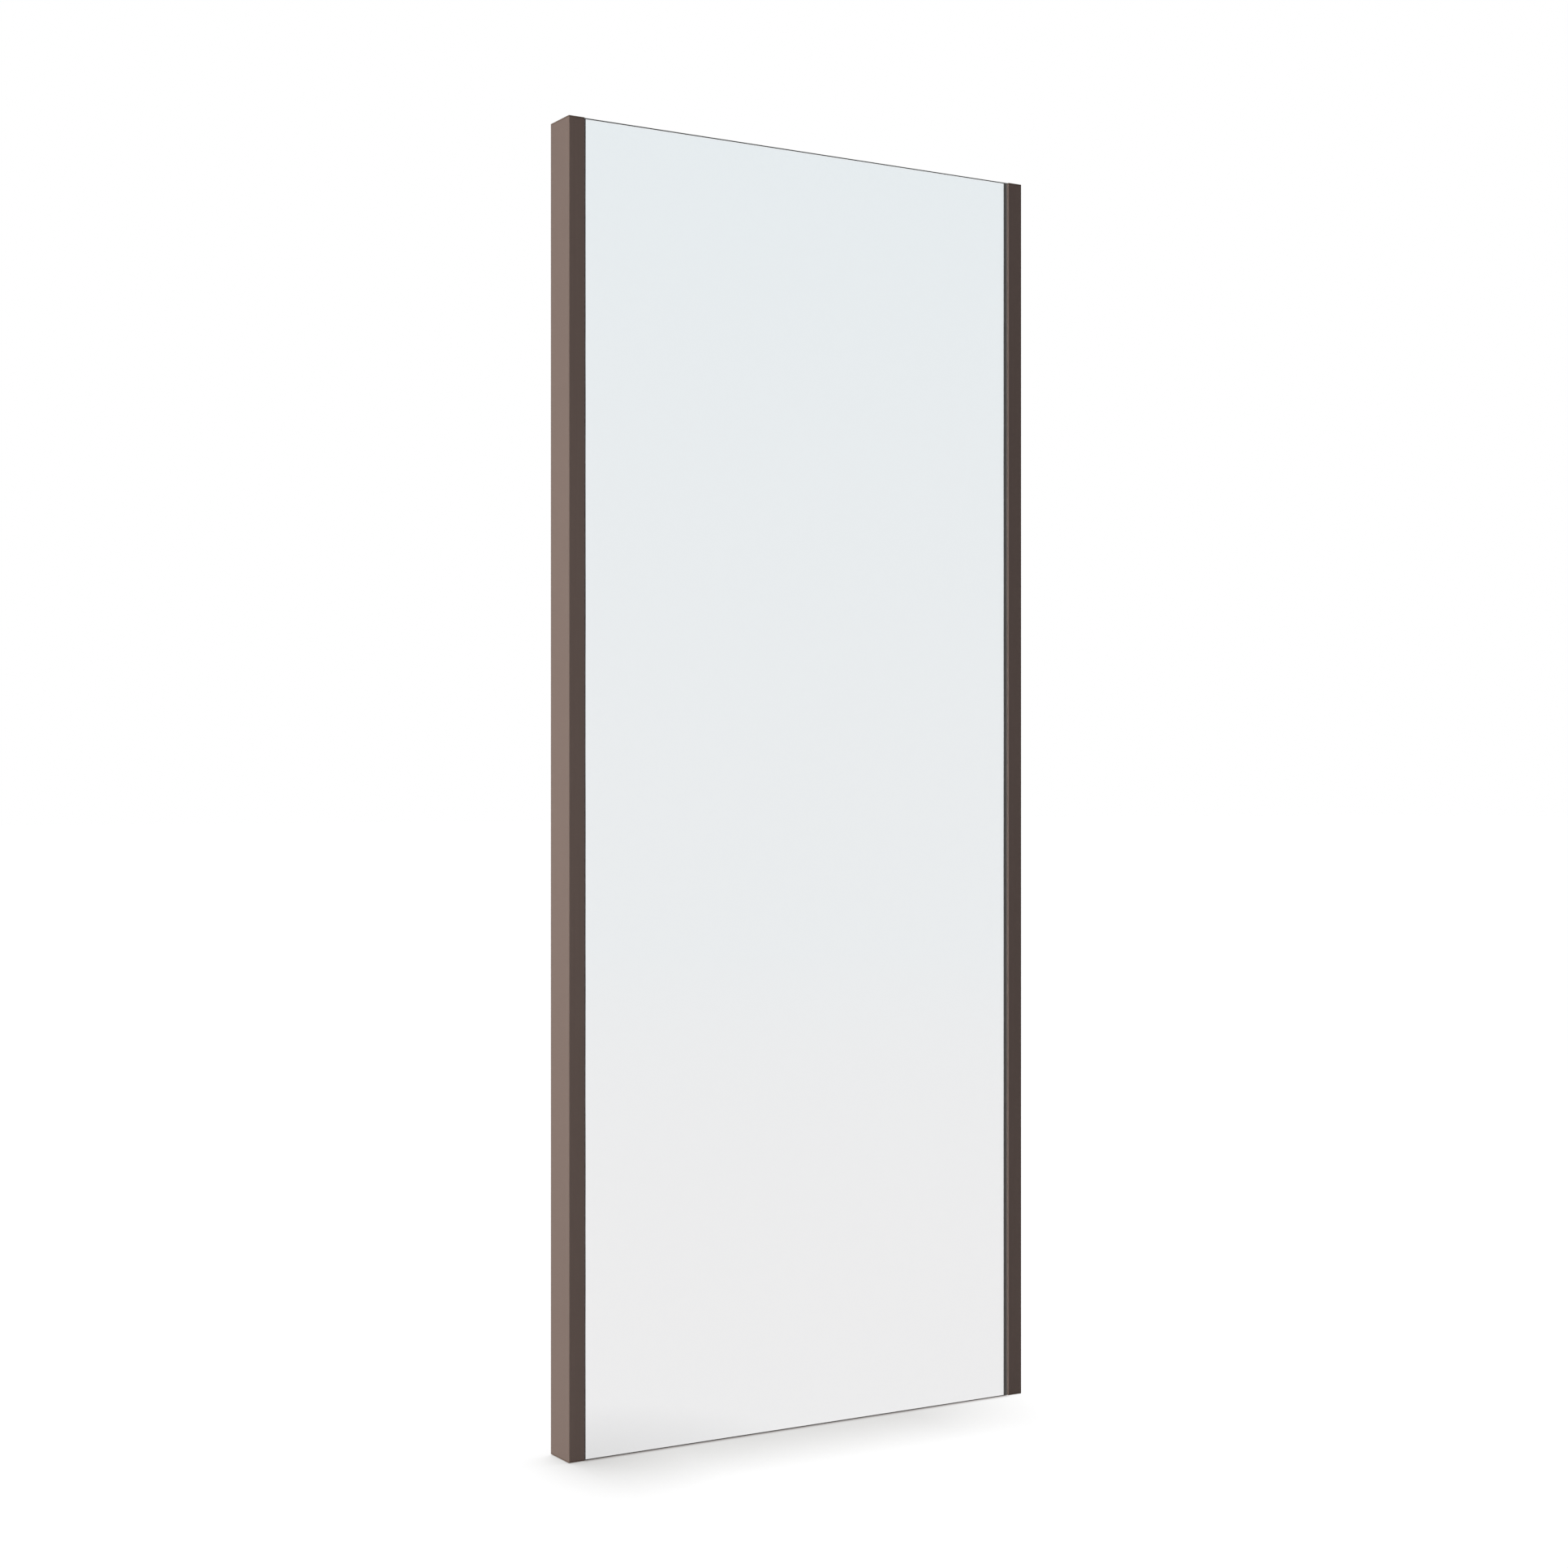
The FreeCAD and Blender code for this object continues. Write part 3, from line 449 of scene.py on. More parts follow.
silverLook = {
    # Widths of the dark band at each edge. At the two sides it is partly the seal and partly painted shade
    # of the gap beside each stile.
    "leadingSealAndShade": 0.0021, "trailingSealAndShade": 0.0032, "lowerSeal": 0.00025, "upperSeal": 0.00065,
    "silver": (0.862, 0.851, 0.875, 1.0), "silverDeep": (0.857, 0.846, 0.87, 1.0),
    "seal": (50, 42, 38), "sealLight": (60, 51, 47), "sealRoughness": 0.6, "cloudScale": 5.0,
    "rippleScale": 40.0, "rippleStretch": (1, 1, 0.3), "rippleDepth": 0.0002,
}
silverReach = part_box("silver_coating")[1]
lowSeals = np.array([silverLook["leadingSealAndShade"], silverLook["lowerSeal"]])
highSeals = np.array([silverLook["trailingSealAndShade"], silverLook["upperSeal"]])
silverLook["middle"] = (lowSeals - highSeals) / 2
silverLook["half"] = np.array([silverReach.x, silverReach.z]) - (lowSeals + highSeals) / 2
finishes["silver"] = silverFinish(silverLook)
print("finishes made:", len(finishes), "and two for the edges of the glass")


# Mesh helpers: whole arrays in, one mesh out

def newPiece(name, points, faces, materials, slots=None, smooth=True, sharpAngle=35.0):
    mesh = bpy.data.meshes.new(name)
    mesh.from_pydata(np.asarray(points).tolist(), [], [list(face) for face in faces])
    mesh.polygons.foreach_set("use_smooth", np.full(len(mesh.polygons), smooth))
    if slots is not None:
        mesh.polygons.foreach_set("material_index", np.asarray(slots, dtype=np.int32))
    if smooth:
        mesh.set_sharp_from_angle(angle=math.radians(sharpAngle))
    for material in materials:
        mesh.materials.append(material)
    mesh.update()
    piece = bpy.data.objects.new(name, mesh)
    bpy.context.scene.collection.objects.link(piece)
    return piece


def standFor(piece, node):
    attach(piece, bodyOfNode[node])
    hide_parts(node)
    return piece


def nodeArrays(node):
    # The node's points, each once, and its triangles as indices into them.
    mesh = frame["nodes"][node].data
    points = np.empty(len(mesh.vertices) * 3)
    mesh.vertices.foreach_get("co", points)
    mesh.calc_loop_triangles()
    corners = np.empty(len(mesh.loop_triangles) * 3, dtype=np.int32)
    mesh.loop_triangles.foreach_get("vertices", corners)
    rounded = np.round(points.reshape(-1, 3), 7)
    single, place = np.unique(rounded, axis=0, return_inverse=True)
    return single, place.reshape(-1)[corners].reshape(-1, 3)


def separateSolids(node):
    # Each solid's own points. A point's label becomes the lowest one in its triangles until none changes.
    points, triangles = nodeArrays(node)
    label = np.arange(len(points))
    while True:
        spread = label.copy()
        lowest = np.repeat(label[triangles].min(axis=1), 3)
        np.minimum.at(spread, triangles.reshape(-1), lowest)
        if np.array_equal(spread, label):
            break
        label = spread
    return [points[label == one] for one in np.unique(label)]


def gridFaces(rows, columns):
    # Quads between neighbouring rows of points. Each row is a ring, so the last column joins the first.
    row, column = np.meshgrid(np.arange(rows - 1), np.arange(columns), indexing="ij")
    following = (column + 1) % columns
    quads = np.stack([
        row * columns + column, row * columns + following,
        (row + 1) * columns + following, (row + 1) * columns + column], axis=-1)
    return quads.reshape(-1, 4)


def turnedRings(radii, depths, turn):
    # One ring for each row of radii and each depth: (radius cos(turn), radius sin(turn), depth).
    heights = np.asarray(depths)[:, None] * np.ones(len(turn))
    return np.stack([radii * np.cos(turn), radii * np.sin(turn), heights], axis=-1)


def closedRings(rings):
    # A skin over a stack of rings, (count, sides, 3), with a fan at each end.
    count, sides = rings.shape[:2]
    points = rings.reshape(-1, 3)
    points = np.vstack([points, rings[0].mean(axis=0), rings[-1].mean(axis=0)])
    around = np.arange(sides)
    following = (around + 1) % sides
    first, last = count * sides, count * sides + 1
    near = np.stack([following, around, np.full(sides, first)], axis=-1)
    far = np.stack([around, following, np.full(sides, last)], axis=-1)
    far[:, :2] += (count - 1) * sides
    return points, [*gridFaces(count, sides).tolist(), *near.tolist(), *far.tolist()]


def outwards(piece, weld=None, flatWithin=None):
    # Points nearer than weld are merged, and flats that turn less than flatWithin degrees are joined up,
    # where these are given. Then the normals are turned away from the inside.
    skin = bmesh.new()
    skin.from_mesh(piece.data)
    if weld:
        bmesh.ops.remove_doubles(skin, verts=skin.verts, dist=weld)
    if flatWithin:
        flatAngle = math.radians(flatWithin)
        bmesh.ops.dissolve_limit(skin, angle_limit=flatAngle, verts=skin.verts, edges=skin.edges)
    bmesh.ops.recalc_face_normals(skin, faces=skin.faces)
    skin.to_mesh(piece.data)
    skin.free()
    return piece


def manyCopies(points, faces, placements):
    # One mesh of all placements. Each is (origin, across, beside, along), for the template's x, y and z.
    origins = np.array([placement[0] for placement in placements])
    axes = np.array([placement[1:] for placement in placements])
    placed = np.einsum("pk,nkj->npj", points, axes) + origins[:, None, :]
    starts = [copy * len(points) for copy in range(len(placements))]
    allFaces = [[corner + start for corner in face] for start in starts for face in faces]
    return placed.reshape(-1, 3), allFaces


def seatedAt(solids, *axes):
    # Placements at the middle of each solid's side of lowest y.
    placements = []
    for solid in solids:
        low, high = solid.min(axis=0), solid.max(axis=0)
        placements.append(([(low[0] + high[0]) / 2, low[1], (low[2] + high[2]) / 2], *axes))
    return placements


def drivenAxes(solid):
    # A round fastener's own frame. Its axis is the one whose size differs most from the middle one of the
    # three sizes, and its widest points are on its head. Returns the placement (middle of the head's end,
    # two axes across, axis into the work), the head's radius and the length.
    low, high = solid.min(axis=0), solid.max(axis=0)
    size = high - low
    axis = int(np.argmax(np.abs(size - np.median(size))))
    across = np.delete(np.arange(3), axis)
    middle = (low + high) / 2
    reach = np.linalg.norm(solid[:, across] - middle[across], axis=1)
    nearlyWidest = 0.98
    headSide = np.sign(solid[reach > reach.max() * nearlyWidest][:, axis].mean() - middle[axis])
    origin = middle.copy()
    origin[axis] = high[axis] if headSide > 0 else low[axis]
    along = np.zeros(3)
    along[axis] = -headSide
    first = np.zeros(3)
    first[across[0]] = 1.0
    return (origin, first, np.cross(along, first), along), reach.max(), size[axis]


# The mirror pane and the silver on its back

paneLook = {"rearArris": 0.00015, "silverSink": 0.00002}


def mirrorPane():
    # A section in (y, z) carried along x: flat front and back, arrises at both ends.
    low, high = (np.array(corner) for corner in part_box("mirror_glass"))
    cadPoints, _ = nodeArrays("mirror_glass")
    arris = high[2] - cadPoints[np.isclose(cadPoints[:, 1], low[1])][:, 2].max()
    rear = paneLook["rearArris"]
    section = np.array([
        [low[1], low[2] + arris], [low[1], high[2] - arris], [low[1] + arris, high[2]],
        [high[1] - rear, high[2]], [high[1], high[2] - rear], [high[1], low[2] + rear],
        [high[1] - rear, low[2]], [low[1] + arris, low[2]],
    ])
    corners = len(section)
    near = np.column_stack([np.full(corners, low[0]), section])
    far = np.column_stack([np.full(corners, high[0]), section])
    faces = [*gridFaces(2, corners).tolist(), range(corners), range(2 * corners - 1, corners - 1, -1)]
    clear, ground, side = 0, 1, 2
    slots = [clear, ground, ground, ground, clear, ground, ground, ground, side, side]
    materials = [finishes["clear_glass"], groundGlass, cutSideGlass]
    pane = newPiece("mirrorPane", np.vstack([near, far]), faces, materials, slots, smooth=False)
    return standFor(outwards(pane), "mirror_glass")


def silverBack():
    # A thin box whose front lies just inside the glass's rear face, so that no air gap shows.
    low, high = (np.array(corner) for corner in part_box("silver_coating"))
    low[1] -= paneLook["silverSink"]
    inset = paneLook["rearArris"]
    width = np.array([low[0], high[0], high[0], low[0]])
    height = np.array([low[2] + inset, low[2] + inset, high[2] - inset, high[2] - inset])
    rings = np.stack([np.column_stack([width, np.full(4, depth), height]) for depth in (low[1], high[1])])
    faces = gridFaces(2, 4).tolist() + [[0, 1, 2, 3], [7, 6, 5, 4]]
    silver = newPiece("silverBack", rings.reshape(-1, 3), faces, [finishes["silver"]], smooth=False)
    return standFor(outwards(silver), "silver_coating")


mirrorPane()
silverBack()
print("mirror made")


# Sheet and extruded pieces with their edges eased

easedEdges = [
    (0.0004, ["stile_cap_leading_top", "stile_cap_leading_bottom",
              "stile_cap_trailing_top", "stile_cap_trailing_bottom",
              "end_rail_upper", "end_rail_lower", "pivot_rail_upper", "pivot_rail_lower"]),
    (0.0003, ["mounting_plate_upper", "mounting_plate_lower", "spine_strip", "strike_plates"]),
    (0.0005, ["carriage_bracket_upper", "carriage_bracket_lower"]),
    (0.0003, ["corner_brackets", "backing_board"]),
    (0.0005, ["magnet_catches"]),
    (0.0003, ["pivot_pin_upper", "pivot_pin_lower", "tube_plug_upper", "tube_plug_lower",
              "pivot_bushes", "friction_washer_upper", "friction_washer_lower"]),
]
easedLook = {"flatWithin": 0.5, "sharpFrom": 40.0, "segments": 2}


def easedCopy(node, width, look):
    # A copy of the node with its flats joined up again, and a narrow bevel on every sharp edge.
    points, triangles = nodeArrays(node)
    piece = newPiece(node + "_eased", points, triangles.tolist(), [finishes[slotOfNode[node]]])
    outwards(piece, flatWithin=look["flatWithin"])
    bevel = piece.modifiers.new("edges", "BEVEL")
    bevel.width = width
    bevel.segments = look["segments"]
    bevel.limit_method = "ANGLE"
    bevel.angle_limit = math.radians(look["sharpFrom"])
    bevel.harden_normals = True
    return standFor(piece, node)


for width, nodes in easedEdges:
    for node in nodes:
        easedCopy(node, width, easedLook)
print("eased pieces made")


# Screws with domed heads and a cross recess, and rivets. Radii are shares of the head's radius, and depths
# in the head are shares of its height.

screwLook = {
    "sides": 48, "headHeightShare": 0.6, "domeDrop": 0.3, "crown": 0.03, "crownRings": 11,
    "outerDome": (0.66, 0.97, 6), "rimRadii": (1.0, 1.0, 0.96), "rimDepths": (0.45, 0.92, 1.0),
    "recessReach": 0.52, "pastRecess": 1.1, "recessDepth": 0.42,
    "armHalf": 0.13, "armSlope": 2.2, "endSlope": 4.0,
    "shankShare": 0.5, "neckShares": (1.04, 1.0), "neckDepths": (1.0, 1.06), "tipShare": 0.6,
    "threadDepth": 0.1, "threadPitch": 0.42, "threadFrom": 1.1, "threadTo": 0.97,
}


def screwSkin(look, headRadius, length):
    # Head: depth over radius r is a flat dome, domeDrop x r^2, sunk further where the cross is. The sink
    # falls off over min(|x|, |y|) across an arm and over r along it. Shank: rings, every second one
    # between two crests.
    turn = np.linspace(0, 2 * math.pi, look["sides"], endpoint=False)
    headHeight = headRadius * look["headHeightShare"]
    inner = np.linspace(look["crown"], look["recessReach"] * look["pastRecess"], look["crownRings"])
    radius = np.concatenate([inner, np.linspace(*look["outerDome"])])[:, None] * np.ones(len(turn))
    across, beside = radius * np.cos(turn), radius * np.sin(turn)
    offArm = np.minimum(np.abs(across), np.abs(beside))
    inArm = np.clip((look["armHalf"] - offArm) / look["armHalf"] * look["armSlope"], 0, 1)
    inReach = np.clip((look["recessReach"] - radius) / look["recessReach"] * look["endSlope"], 0, 1)
    depth = look["domeDrop"] * radius ** 2 + look["recessDepth"] * inArm * inReach
    dome = np.stack([across * headRadius, beside * headRadius, depth * headHeight], axis=-1)
    threadCount = max(int((length - headHeight) / (look["threadPitch"] * headRadius)), 1)
    crests = np.linspace(headHeight * look["threadFrom"], length * look["threadTo"], 2 * threadCount + 1)
    neck = look["shankShare"] * np.array(look["neckShares"])
    shank = look["shankShare"] * (1 - look["threadDepth"] * (np.arange(len(crests)) % 2))
    tip = look["shankShare"] * look["tipShare"]
    radii = np.concatenate([look["rimRadii"], neck, shank, [tip]]) * headRadius
    headDepths = np.array([*look["rimDepths"], *look["neckDepths"]]) * headHeight
    rings = turnedRings(radii[:, None], np.concatenate([headDepths, crests, [length]]), turn)
    return closedRings(np.concatenate([dome, rings]))


rivetLook = {
    "sides": 32, "rings": 8, "headHeightShare": 0.34, "crownAngle": 0.05, "domeShare": 0.85,
    "shankShare": 0.57,
}


def rivetSkin(look, headRadius, length):
    # Head: a quarter ellipse from the crown to the rim, then straight in to the shank.
    turn = np.linspace(0, 2 * math.pi, look["sides"], endpoint=False)
    sweep = np.linspace(look["crownAngle"], math.pi / 2, look["rings"])
    headHeight = headRadius * look["headHeightShare"]
    radii = np.concatenate([np.sin(sweep), [1.0, look["shankShare"], look["shankShare"]]]) * headRadius
    domeDepths = (1 - np.cos(sweep)) * headHeight * look["domeShare"]
    return closedRings(turnedRings(radii[:, None], [*domeDepths, headHeight, headHeight, length], turn))


def fastenerSet(name, node, skinOf, look):
    # One skin, worked out for the first of the set and copied to them all.
    placed = [drivenAxes(solid) for solid in separateSolids(node)]
    skin, faces = skinOf(look, placed[0][1], placed[0][2])
    points, allFaces = manyCopies(skin, faces, [placement for placement, _, _ in placed])
    return standFor(outwards(newPiece(name, points, allFaces, [finishes[slotOfNode[node]]])), node)


for setName, screwNode in (
        ("boardScrewSet", "board_screws"), ("cornerScrewSet", "corner_screws"),
        ("bracketScrewSet", "bracket_screws")):
    fastenerSet(setName, screwNode, screwSkin, screwLook)
fastenerSet("spineRivetSet", "spine_rivets", rivetSkin, rivetLook)


# Pads, nuts and buffers

padLook = {
    "sides": 40,
    "radii": (0.05, 0.3, 0.55, 0.68, 0.78, 0.88, 0.95, 0.99, 1.0, 1.0, 0.97),
    "rise": (0.8, 0.8, 0.82, 0.95, 1.0, 1.0, 0.95, 0.85, 0.7, 0.05, 0.0),
}


def padSet(look):
    # Profile from the middle: a shallow dish, a raised ring, then a rounded rim down to the glued face.
    solids = separateSolids("rubber_pads")
    low, high = solids[0].min(axis=0), solids[0].max(axis=0)
    radius, thickness = (high[0] - low[0]) / 2, high[1] - low[1]
    turn = np.linspace(0, 2 * math.pi, look["sides"], endpoint=False)
    radii, depths = np.array(look["radii"]) * radius, -np.array(look["rise"]) * thickness
    skin, faces = closedRings(turnedRings(radii[:, None], depths, turn))
    points, allFaces = manyCopies(skin, faces, seatedAt(solids, [1, 0, 0], [0, 0, 1], [0, -1, 0]))
    piece = newPiece("rubberPadSet", points, allFaces, [finishes["black_rubber"]])
    return standFor(outwards(piece), "rubber_pads")


padSet(padLook)

nutLook = {"sides": 48, "chamferShare": 0.14, "endShare": 0.98, "boreShare": 0.56, "weld": 1e-7}


def nutSet(look):
    # Six-sided prism whose corners are turned off: radius = the smaller of the hexagon's radius at that
    # angle and a cone. The bore joins the two ends.
    solids = separateSolids("bracket_nuts")
    low, high = solids[0].min(axis=0), solids[0].max(axis=0)
    corner, thickness = (high - low)[[0, 2]].max() / 2, high[1] - low[1]
    turn = np.linspace(0, 2 * math.pi, look["sides"], endpoint=False)
    flat = corner * math.cos(math.pi / 6)
    hexagon = flat / np.cos((turn + math.pi / 6) % (math.pi / 3) - math.pi / 6)
    chamfer = look["chamferShare"] * thickness
    end = flat * look["endShare"]
    bore = look["boreShare"] * corner
    depths = [0, 0, chamfer, thickness - chamfer, thickness, thickness, 0]
    limits = np.array([bore, end, corner, corner, end, bore, bore])
    rings = turnedRings(np.minimum(hexagon, limits[:, None]), depths, turn)
    faces = gridFaces(len(depths), len(turn)).tolist()
    placements = seatedAt(solids, [0, 0, 1], [1, 0, 0], [0, 1, 0])
    points, allFaces = manyCopies(rings.reshape(-1, 3), faces, placements)
    piece = newPiece("bracketNutSet", points, allFaces, [finishes["black_screws"]])
    return standFor(outwards(piece, weld=look["weld"]), "bracket_nuts")


nutSet(nutLook)

bufferLook = {"rows": 25, "columns": 48, "power": 0.18, "poleGap": 0.02}


def bufferSet(look):
    # Rounded block: half size x sign(c) |c|^power in each angle, c being the sine and cosine of a sphere.
    around = np.linspace(0, 2 * math.pi, look["columns"], endpoint=False)
    steepest = math.pi / 2 - look["poleGap"]
    tilt = np.linspace(-steepest, steepest, look["rows"])[:, None]

    def squared(value):
        return np.sign(value) * np.abs(value) ** look["power"]

    unit = np.stack([
        squared(np.cos(tilt)) * squared(np.cos(around)), squared(np.cos(tilt)) * squared(np.sin(around)),
        squared(np.sin(tilt)) * np.ones(len(around))], axis=-1)
    placements = []
    for solid in separateSolids("closing_buffers"):
        low, high = solid.min(axis=0), solid.max(axis=0)
        placements.append(((low + high) / 2, *np.diag((high - low) / 2)))
    points, allFaces = manyCopies(*closedRings(unit), placements)
    piece = newPiece("bufferSet", points, allFaces, [finishes["black_rubber"]])
    return standFor(outwards(piece), "closing_buffers")


bufferSet(bufferLook)
print("fasteners, pads and buffers made")


# Rolled slide members

# The lipped members are the outer and the middle one. The inner one has no lips and wider bends.
memberLook = {
    "sheet": 0.0012, "bendSteps": 7, "lips": (0.0014, 0.0012), "lippedBend": 0.0011, "plainBend": 0.0018,
    "raceDepth": 0.00045, "raceHalf": 0.0018, "racePoints": 13, "nearlyFlange": 0.97,
}


def roundedLine(corners, radius, steps):
    # A line of points through the corners, each inner corner replaced by an arc of the radius.
    corners = np.asarray(corners, dtype=float)
    points = [corners[0]]
    for before, corner, after in zip(corners, corners[1:], corners[2:]):
        inward = (before - corner) / np.linalg.norm(before - corner)
        onward = (after - corner) / np.linalg.norm(after - corner)
        half = math.acos(np.clip(inward @ onward, -1, 1)) / 2
        setback = radius / math.tan(half)
        centre = corner + (inward + onward) / np.linalg.norm(inward + onward) * radius / math.sin(half)
        start = corner + inward * setback - centre
        finish = corner + onward * setback - centre
        sweep = math.atan2(start[0] * finish[1] - start[1] * finish[0], start @ finish)
        turns = np.linspace(0, sweep, steps)
        arc = np.column_stack([
            start[0] * np.cos(turns) - start[1] * np.sin(turns),
            start[0] * np.sin(turns) + start[1] * np.cos(turns)])
        points.extend(centre + arc)
    points.append(corners[-1])
    return np.array(points)


def withRace(line, raceY, raceSide, look):
    # A ball race: over its half width the flange goes raceDepth x (1 + cos) / 2 out where raceSide is 1,
    # and in where it is -1.
    steps = np.linspace(-1, 1, look["racePoints"])
    onFlange = np.abs(line[:, 1]) > look["nearlyFlange"] * np.abs(line[:, 1]).max()
    crosses = (line[:-1, 0] - raceY) * (line[1:, 0] - raceY) < 0
    cuts = np.flatnonzero(onFlange[:-1] & onFlange[1:] & crosses)
    pieces, start = [], 0
    for cut in cuts:
        side = np.sign(line[cut, 1])
        order = steps if line[cut, 0] < line[cut + 1, 0] else -steps
        race = np.column_stack([
            raceY + order * look["raceHalf"],
            line[cut, 1] + side * raceSide * look["raceDepth"] * (1 + np.cos(steps * math.pi)) / 2])
        pieces += [line[start:cut + 1], race]
        start = cut + 1
    return np.vstack(pieces + [line[start:]])


def rolledMember(node, line, look):
    # The centre line in (y, z) gets half the sheet to each side and is carried along x, with closed ends.
    low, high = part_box(node)
    tangent = np.gradient(line, axis=0)
    tangent /= np.linalg.norm(tangent, axis=1)[:, None]
    normal = np.column_stack([-tangent[:, 1], tangent[:, 0]]) * look["sheet"] / 2
    outline = np.vstack([line + normal, (line - normal)[::-1]])
    count, around = len(line), len(outline)
    places = np.array([low.x, high.x])
    rings = np.stack([np.column_stack([np.full(around, place), outline]) for place in places])
    strip = np.arange(count - 1)
    ends = np.column_stack([strip, strip + 1, around - 2 - strip, around - 1 - strip])
    faces = [*gridFaces(2, around).tolist(), *ends.tolist(), *(ends[:, ::-1] + around).tolist()]
    piece = newPiece(node + "_rolled", rings.reshape(-1, 3), faces, [finishes["zinc_steel"]])
    return standFor(outwards(piece), node)


def slideMembers(half, look):
    # Each member's centre line runs half a sheet inside its solid's box, from lip to lip round the web.
    sheet, depth = look["sheet"], look["raceDepth"]
    nodes = ["slide_" + member + "_member_" + half for member in ("outer", "middle", "inner")]
    outer, middle, (innerLow, innerHigh) = [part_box(node) for node in nodes]
    centreZ = (outer[0].z + outer[1].z) / 2
    raceY = (outer[0].y + outer[1].y) / 2
    lines = []
    for (low, high), lipReach, raceSide, setIn in zip((outer, middle), look["lips"], (1, -1), (depth, 0)):
        flange = (high.z - low.z) / 2 - sheet / 2 - setIn
        web, rim = high.y - sheet / 2, low.y + sheet / 2
        lip = flange - lipReach - sheet / 2
        corners = [(rim, -lip), (rim, -flange), (web, -flange), (web, flange), (rim, flange), (rim, lip)]
        line = roundedLine(corners, look["lippedBend"], look["bendSteps"])
        lines.append(withRace(line, raceY, raceSide, look))
    reach = (innerHigh.z - innerLow.z) / 2 - sheet / 2
    web, rim = innerLow.y + sheet / 2, innerHigh.y
    corners = [(rim, -reach), (web, -reach), (web, reach), (rim, reach)]
    lines.append(roundedLine(corners, look["plainBend"], look["bendSteps"]))
    for node, line in zip(nodes, lines):
        rolledMember(node, line + np.array([0, centreZ]), look)


slideMembers("upper", memberLook)
slideMembers("lower", memberLook)
print("slide members made")


# Every node gets its finish, which shows on those that nothing replaces

for node, thing in frame["nodes"].items():
    finish = finishes[slotOfNode[node]]
    if thing.material_slots:
        for slot in thing.material_slots:
            slot.material = finish
    else:
        thing.data.materials.append(finish)


# Floor, light and camera

stageLook = {
    "floorDrop": 0.0006, "floorReach": 40.0, "bounce": 0.52,
    "shadowLean": (0.2, 0.55, 0.8), "shadowReach": (-0.27, -0.15, 0.155, 0.12),
    "shadowDepths": ((-0.31, -0.245, 0.2, 1.0), (-0.27, -0.15, 1.0, 0.71), (0.11, 0.25, 1.0, 0.08)),
    "contactReach": 0.005, "contactDepths": ((-0.236, -0.232, 0.0, 1.0), (0.232, 0.236, 1.0, 0.0)),
    "shadowTint": (0.38, 0.37, 0.355, 1.0), "contactTint": (0.33, 0.29, 0.28, 1.0), "shadowSamples": 16,
    "sightDiffuse": 0.08, "floorNear": (1.0, 1.0, 0.981, 1.0), "nearReach": 0.6, "farReach": 7.0,
    "footReach": 0.2, "footShade": 0.14,
    "softLight": 0.135, "softLean": 0.1, "softColour": (1.0, 0.99, 1.1, 1.0),
    "skyLow": (0.972, 1.0, 0.991, 1.0), "skyHigh": (0.939, 0.998, 1.0, 1.0), "skyTop": 0.27,
}


def sightRays(tree):
    # 1 for a ray from the eye, a reflection or a view through glass, and 0 for light that bounces softly.
    rays = addNode(tree, "ShaderNodeLightPath")
    mirrored = mathNode(tree, "MAXIMUM", rays.outputs["Is Glossy Ray"], rays.outputs["Is Transmission Ray"])
    return rays.outputs["Is Camera Ray"], mathNode(tree, "MAXIMUM", rays.outputs["Is Camera Ray"], mirrored)


def distanceFrom(tree, place, point):
    inputs = {0: place, 1: point}
    return addNode(tree, "ShaderNodeVectorMath", inputs, operation="DISTANCE").outputs["Value"]


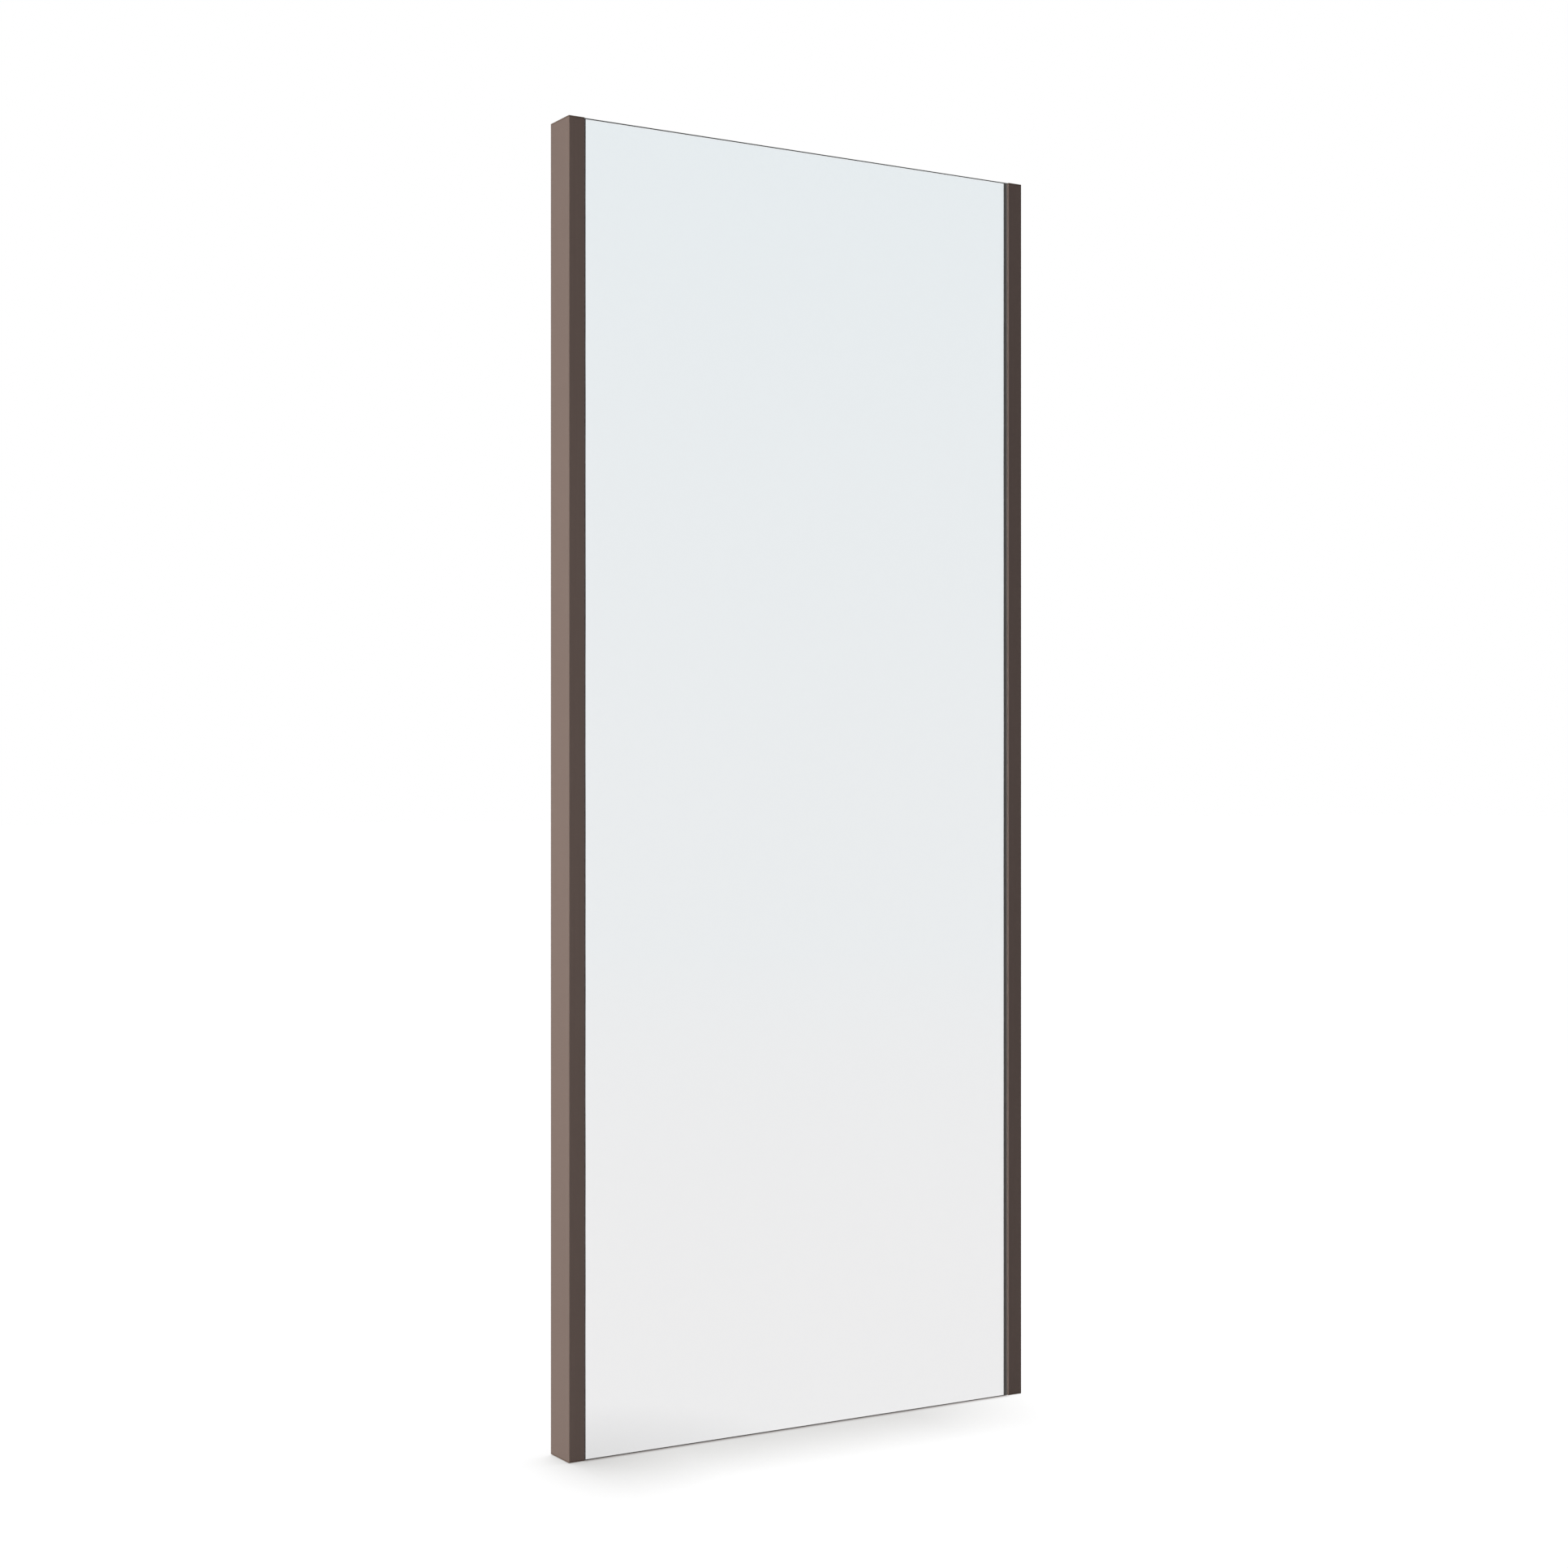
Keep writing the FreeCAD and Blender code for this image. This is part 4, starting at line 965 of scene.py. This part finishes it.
def makeFloor(look):
    # Sight rays see a white floor that darkens near the object: colour = mix(white, shadow tint,
    # closeness) x mix(white, contact tint, contact). Closeness is ambient occlusion about a direction that
    # leans back, and contact is the same close up and upright, each multiplied by ranges across: the
    # shadow is full at the left foot and faint by the right one, and the contact is under the pane alone.
    # Mirrored sight gets the room's slow change of tone and the shade at the foot instead. From below the
    # floor is clear.
    reach, level = look["floorReach"], cadBox[0][2] - look["floorDrop"]
    square = np.array([(-1, -1), (1, -1), (1, 1), (-1, 1)]) * reach
    corners = np.column_stack([square, np.full(4, level)])
    material, tree = newMaterial("studio_floor")
    place = objectPlace(tree)
    lean = addNode(tree, "ShaderNodeVectorMath", {0: look["shadowLean"]}, operation="NORMALIZE")
    across = addNode(tree, "ShaderNodeSeparateXYZ", {"Vector": place}).outputs[0]
    shadowReach = rangeNode(tree, across, *look["shadowReach"])
    shade = white
    for ranges, tint, inputs in (
            ("shadowDepths", "shadowTint", {"Distance": shadowReach, "Normal": lean.outputs["Vector"]}),
            ("contactDepths", "contactTint", {"Distance": look["contactReach"]})):
        openness = addNode(tree, "ShaderNodeAmbientOcclusion", inputs, samples=look["shadowSamples"])
        closeness = mathNode(tree, "SUBTRACT", 1.0, openness.outputs["AO"])
        for depthRange in look[ranges]:
            closeness = mathNode(tree, "MULTIPLY", closeness, rangeNode(tree, across, *depthRange))
        shade = mixColour(tree, 1.0, shade, mixColour(tree, closeness, white, look[tint]), "MULTIPLY")
    distance = distanceFrom(tree, place, (0, 0, level))
    farness = rangeNode(tree, distance, look["nearReach"], look["farReach"], 0.0, 1.0)
    mirrored = mixColour(tree, farness, look["floorNear"], look["skyLow"])
    footLow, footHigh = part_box("stile_leading")
    distance = distanceFrom(tree, place, (footHigh.x, footLow.y, level))
    atFoot = rangeNode(tree, distance, 0.0, look["footReach"], 1 - look["footShade"], 1.0)
    mirrored = mixColour(tree, 1.0, mirrored, atFoot, "MULTIPLY")
    isCamera, isSight = sightRays(tree)
    shine = addNode(tree, "ShaderNodeEmission", {"Color": mixColour(tree, isCamera, mirrored, shade)})
    paint = mathNode(tree, "MULTIPLY", isCamera, look["sightDiffuse"])
    thin = addNode(tree, "ShaderNodeBsdfDiffuse", {"Color": paint})
    seen = addNode(tree, "ShaderNodeAddShader", {0: shine.outputs[0], 1: thin.outputs[0]})
    lit = addNode(tree, "ShaderNodeBsdfDiffuse", {"Color": (look["bounce"],) * 3 + (1.0,)})
    fromAbove = mixShader(tree, isSight, lit, seen)
    through = addNode(tree, "ShaderNodeBsdfTransparent")
    isBelow = addNode(tree, "ShaderNodeNewGeometry").outputs["Backfacing"]
    finishWith(tree, mixShader(tree, isBelow, fromAbove, through))
    newPiece("studioFloor", corners, [(0, 1, 2, 3)], [material], smooth=False)


def makeWorld(look):
    # The eye sees white, and reflections see it turn slightly cool with height. Soft light is stronger
    # from the side of the key lamp: strength = even level - lean x direction across.
    world = bpy.data.worlds.new("studio")
    bpy.context.scene.world = world
    world.use_nodes = True
    tree = world.node_tree
    tree.nodes.clear()
    direction = addNode(tree, "ShaderNodeTexCoord").outputs["Generated"]
    across, _, height = addNode(tree, "ShaderNodeSeparateXYZ", {"Vector": direction}).outputs
    isCamera, isSight = sightRays(tree)
    heightShare = rangeNode(tree, height, 0.0, look["skyTop"], 0.0, 1.0)
    sky = mixColour(tree, heightShare, look["skyLow"], look["skyHigh"])
    colour = mixColour(tree, isCamera, sky, white)
    seen = addNode(tree, "ShaderNodeBackground", {"Color": colour, "Strength": 1.0})
    share = mathNode(tree, "MULTIPLY_ADD", across, -look["softLean"], look["softLight"])
    soft = addNode(tree, "ShaderNodeBackground", {"Color": look["softColour"], "Strength": share})
    addNode(tree, "ShaderNodeOutputWorld", {"Surface": mixShader(tree, isSight, soft, seen).outputs[0]})


def makeLamp(name, look):
    lamp = bpy.data.lights.new(name, "AREA")
    lamp.shape = "RECTANGLE"
    lamp.size, lamp.size_y = look["size"]
    lamp.energy = look["watts"]
    lamp.color = look["colour"]
    holder = bpy.data.objects.new(name, lamp)
    bpy.context.scene.collection.objects.link(holder)
    place, aim = np.array(look["place"]), np.array(look["aim"])
    turn = math.atan2(*(aim - place)[:2])
    drop = math.atan2(place[2] - aim[2], math.hypot(*(aim - place)[:2]))
    holder.location = place
    holder.rotation_euler = (math.pi / 2 - drop, 0, -turn)
    holder.visible_camera = False
    holder.visible_glossy = False


lampLooks = {
    "keyLamp": {"place": (-2.75, -0.76, 0.0), "aim": (-0.1, -0.02, 0.0), "size": (1.15, 1.3), "watts": 66.0,
                "colour": (1.0, 0.985, 0.94)},
    "rearLamp": {"place": (0.9, 2.4, 1.2), "aim": (0.0, 0.0, 0.0), "size": (1.8, 1.8), "watts": 48.0,
                 "colour": (1.0, 1.0, 1.0)},
}

cameraLook = {
    "place": (-1.2504, -2.054, 0.0), "yaw": 31.28, "focal": 3104.6, "frame": 1932, "sensor": 36.0,
    "horizon": 972.25, "farClip": 200.0,
}


def makeCamera(look):
    # Two-point perspective: the camera is level, and the horizon's height in the frame sets the shift.
    lens = bpy.data.cameras.new("camera")
    lens.sensor_width = look["sensor"]
    lens.lens = look["focal"] / look["frame"] * look["sensor"]
    lens.shift_y = (look["horizon"] - look["frame"] / 2) / look["frame"]
    lens.clip_end = look["farClip"]
    camera = bpy.data.objects.new("camera", lens)
    camera.location = look["place"]
    camera.rotation_euler = (math.pi / 2, 0, -math.radians(look["yaw"]))
    bpy.context.scene.collection.objects.link(camera)
    bpy.context.scene.camera = camera


makeFloor(stageLook)
makeWorld(stageLook)
for lampName, lampLook in lampLooks.items():
    makeLamp(lampName, lampLook)
makeCamera(cameraLook)
bpy.context.scene.view_settings.view_transform = "Standard"
print("studio set up")
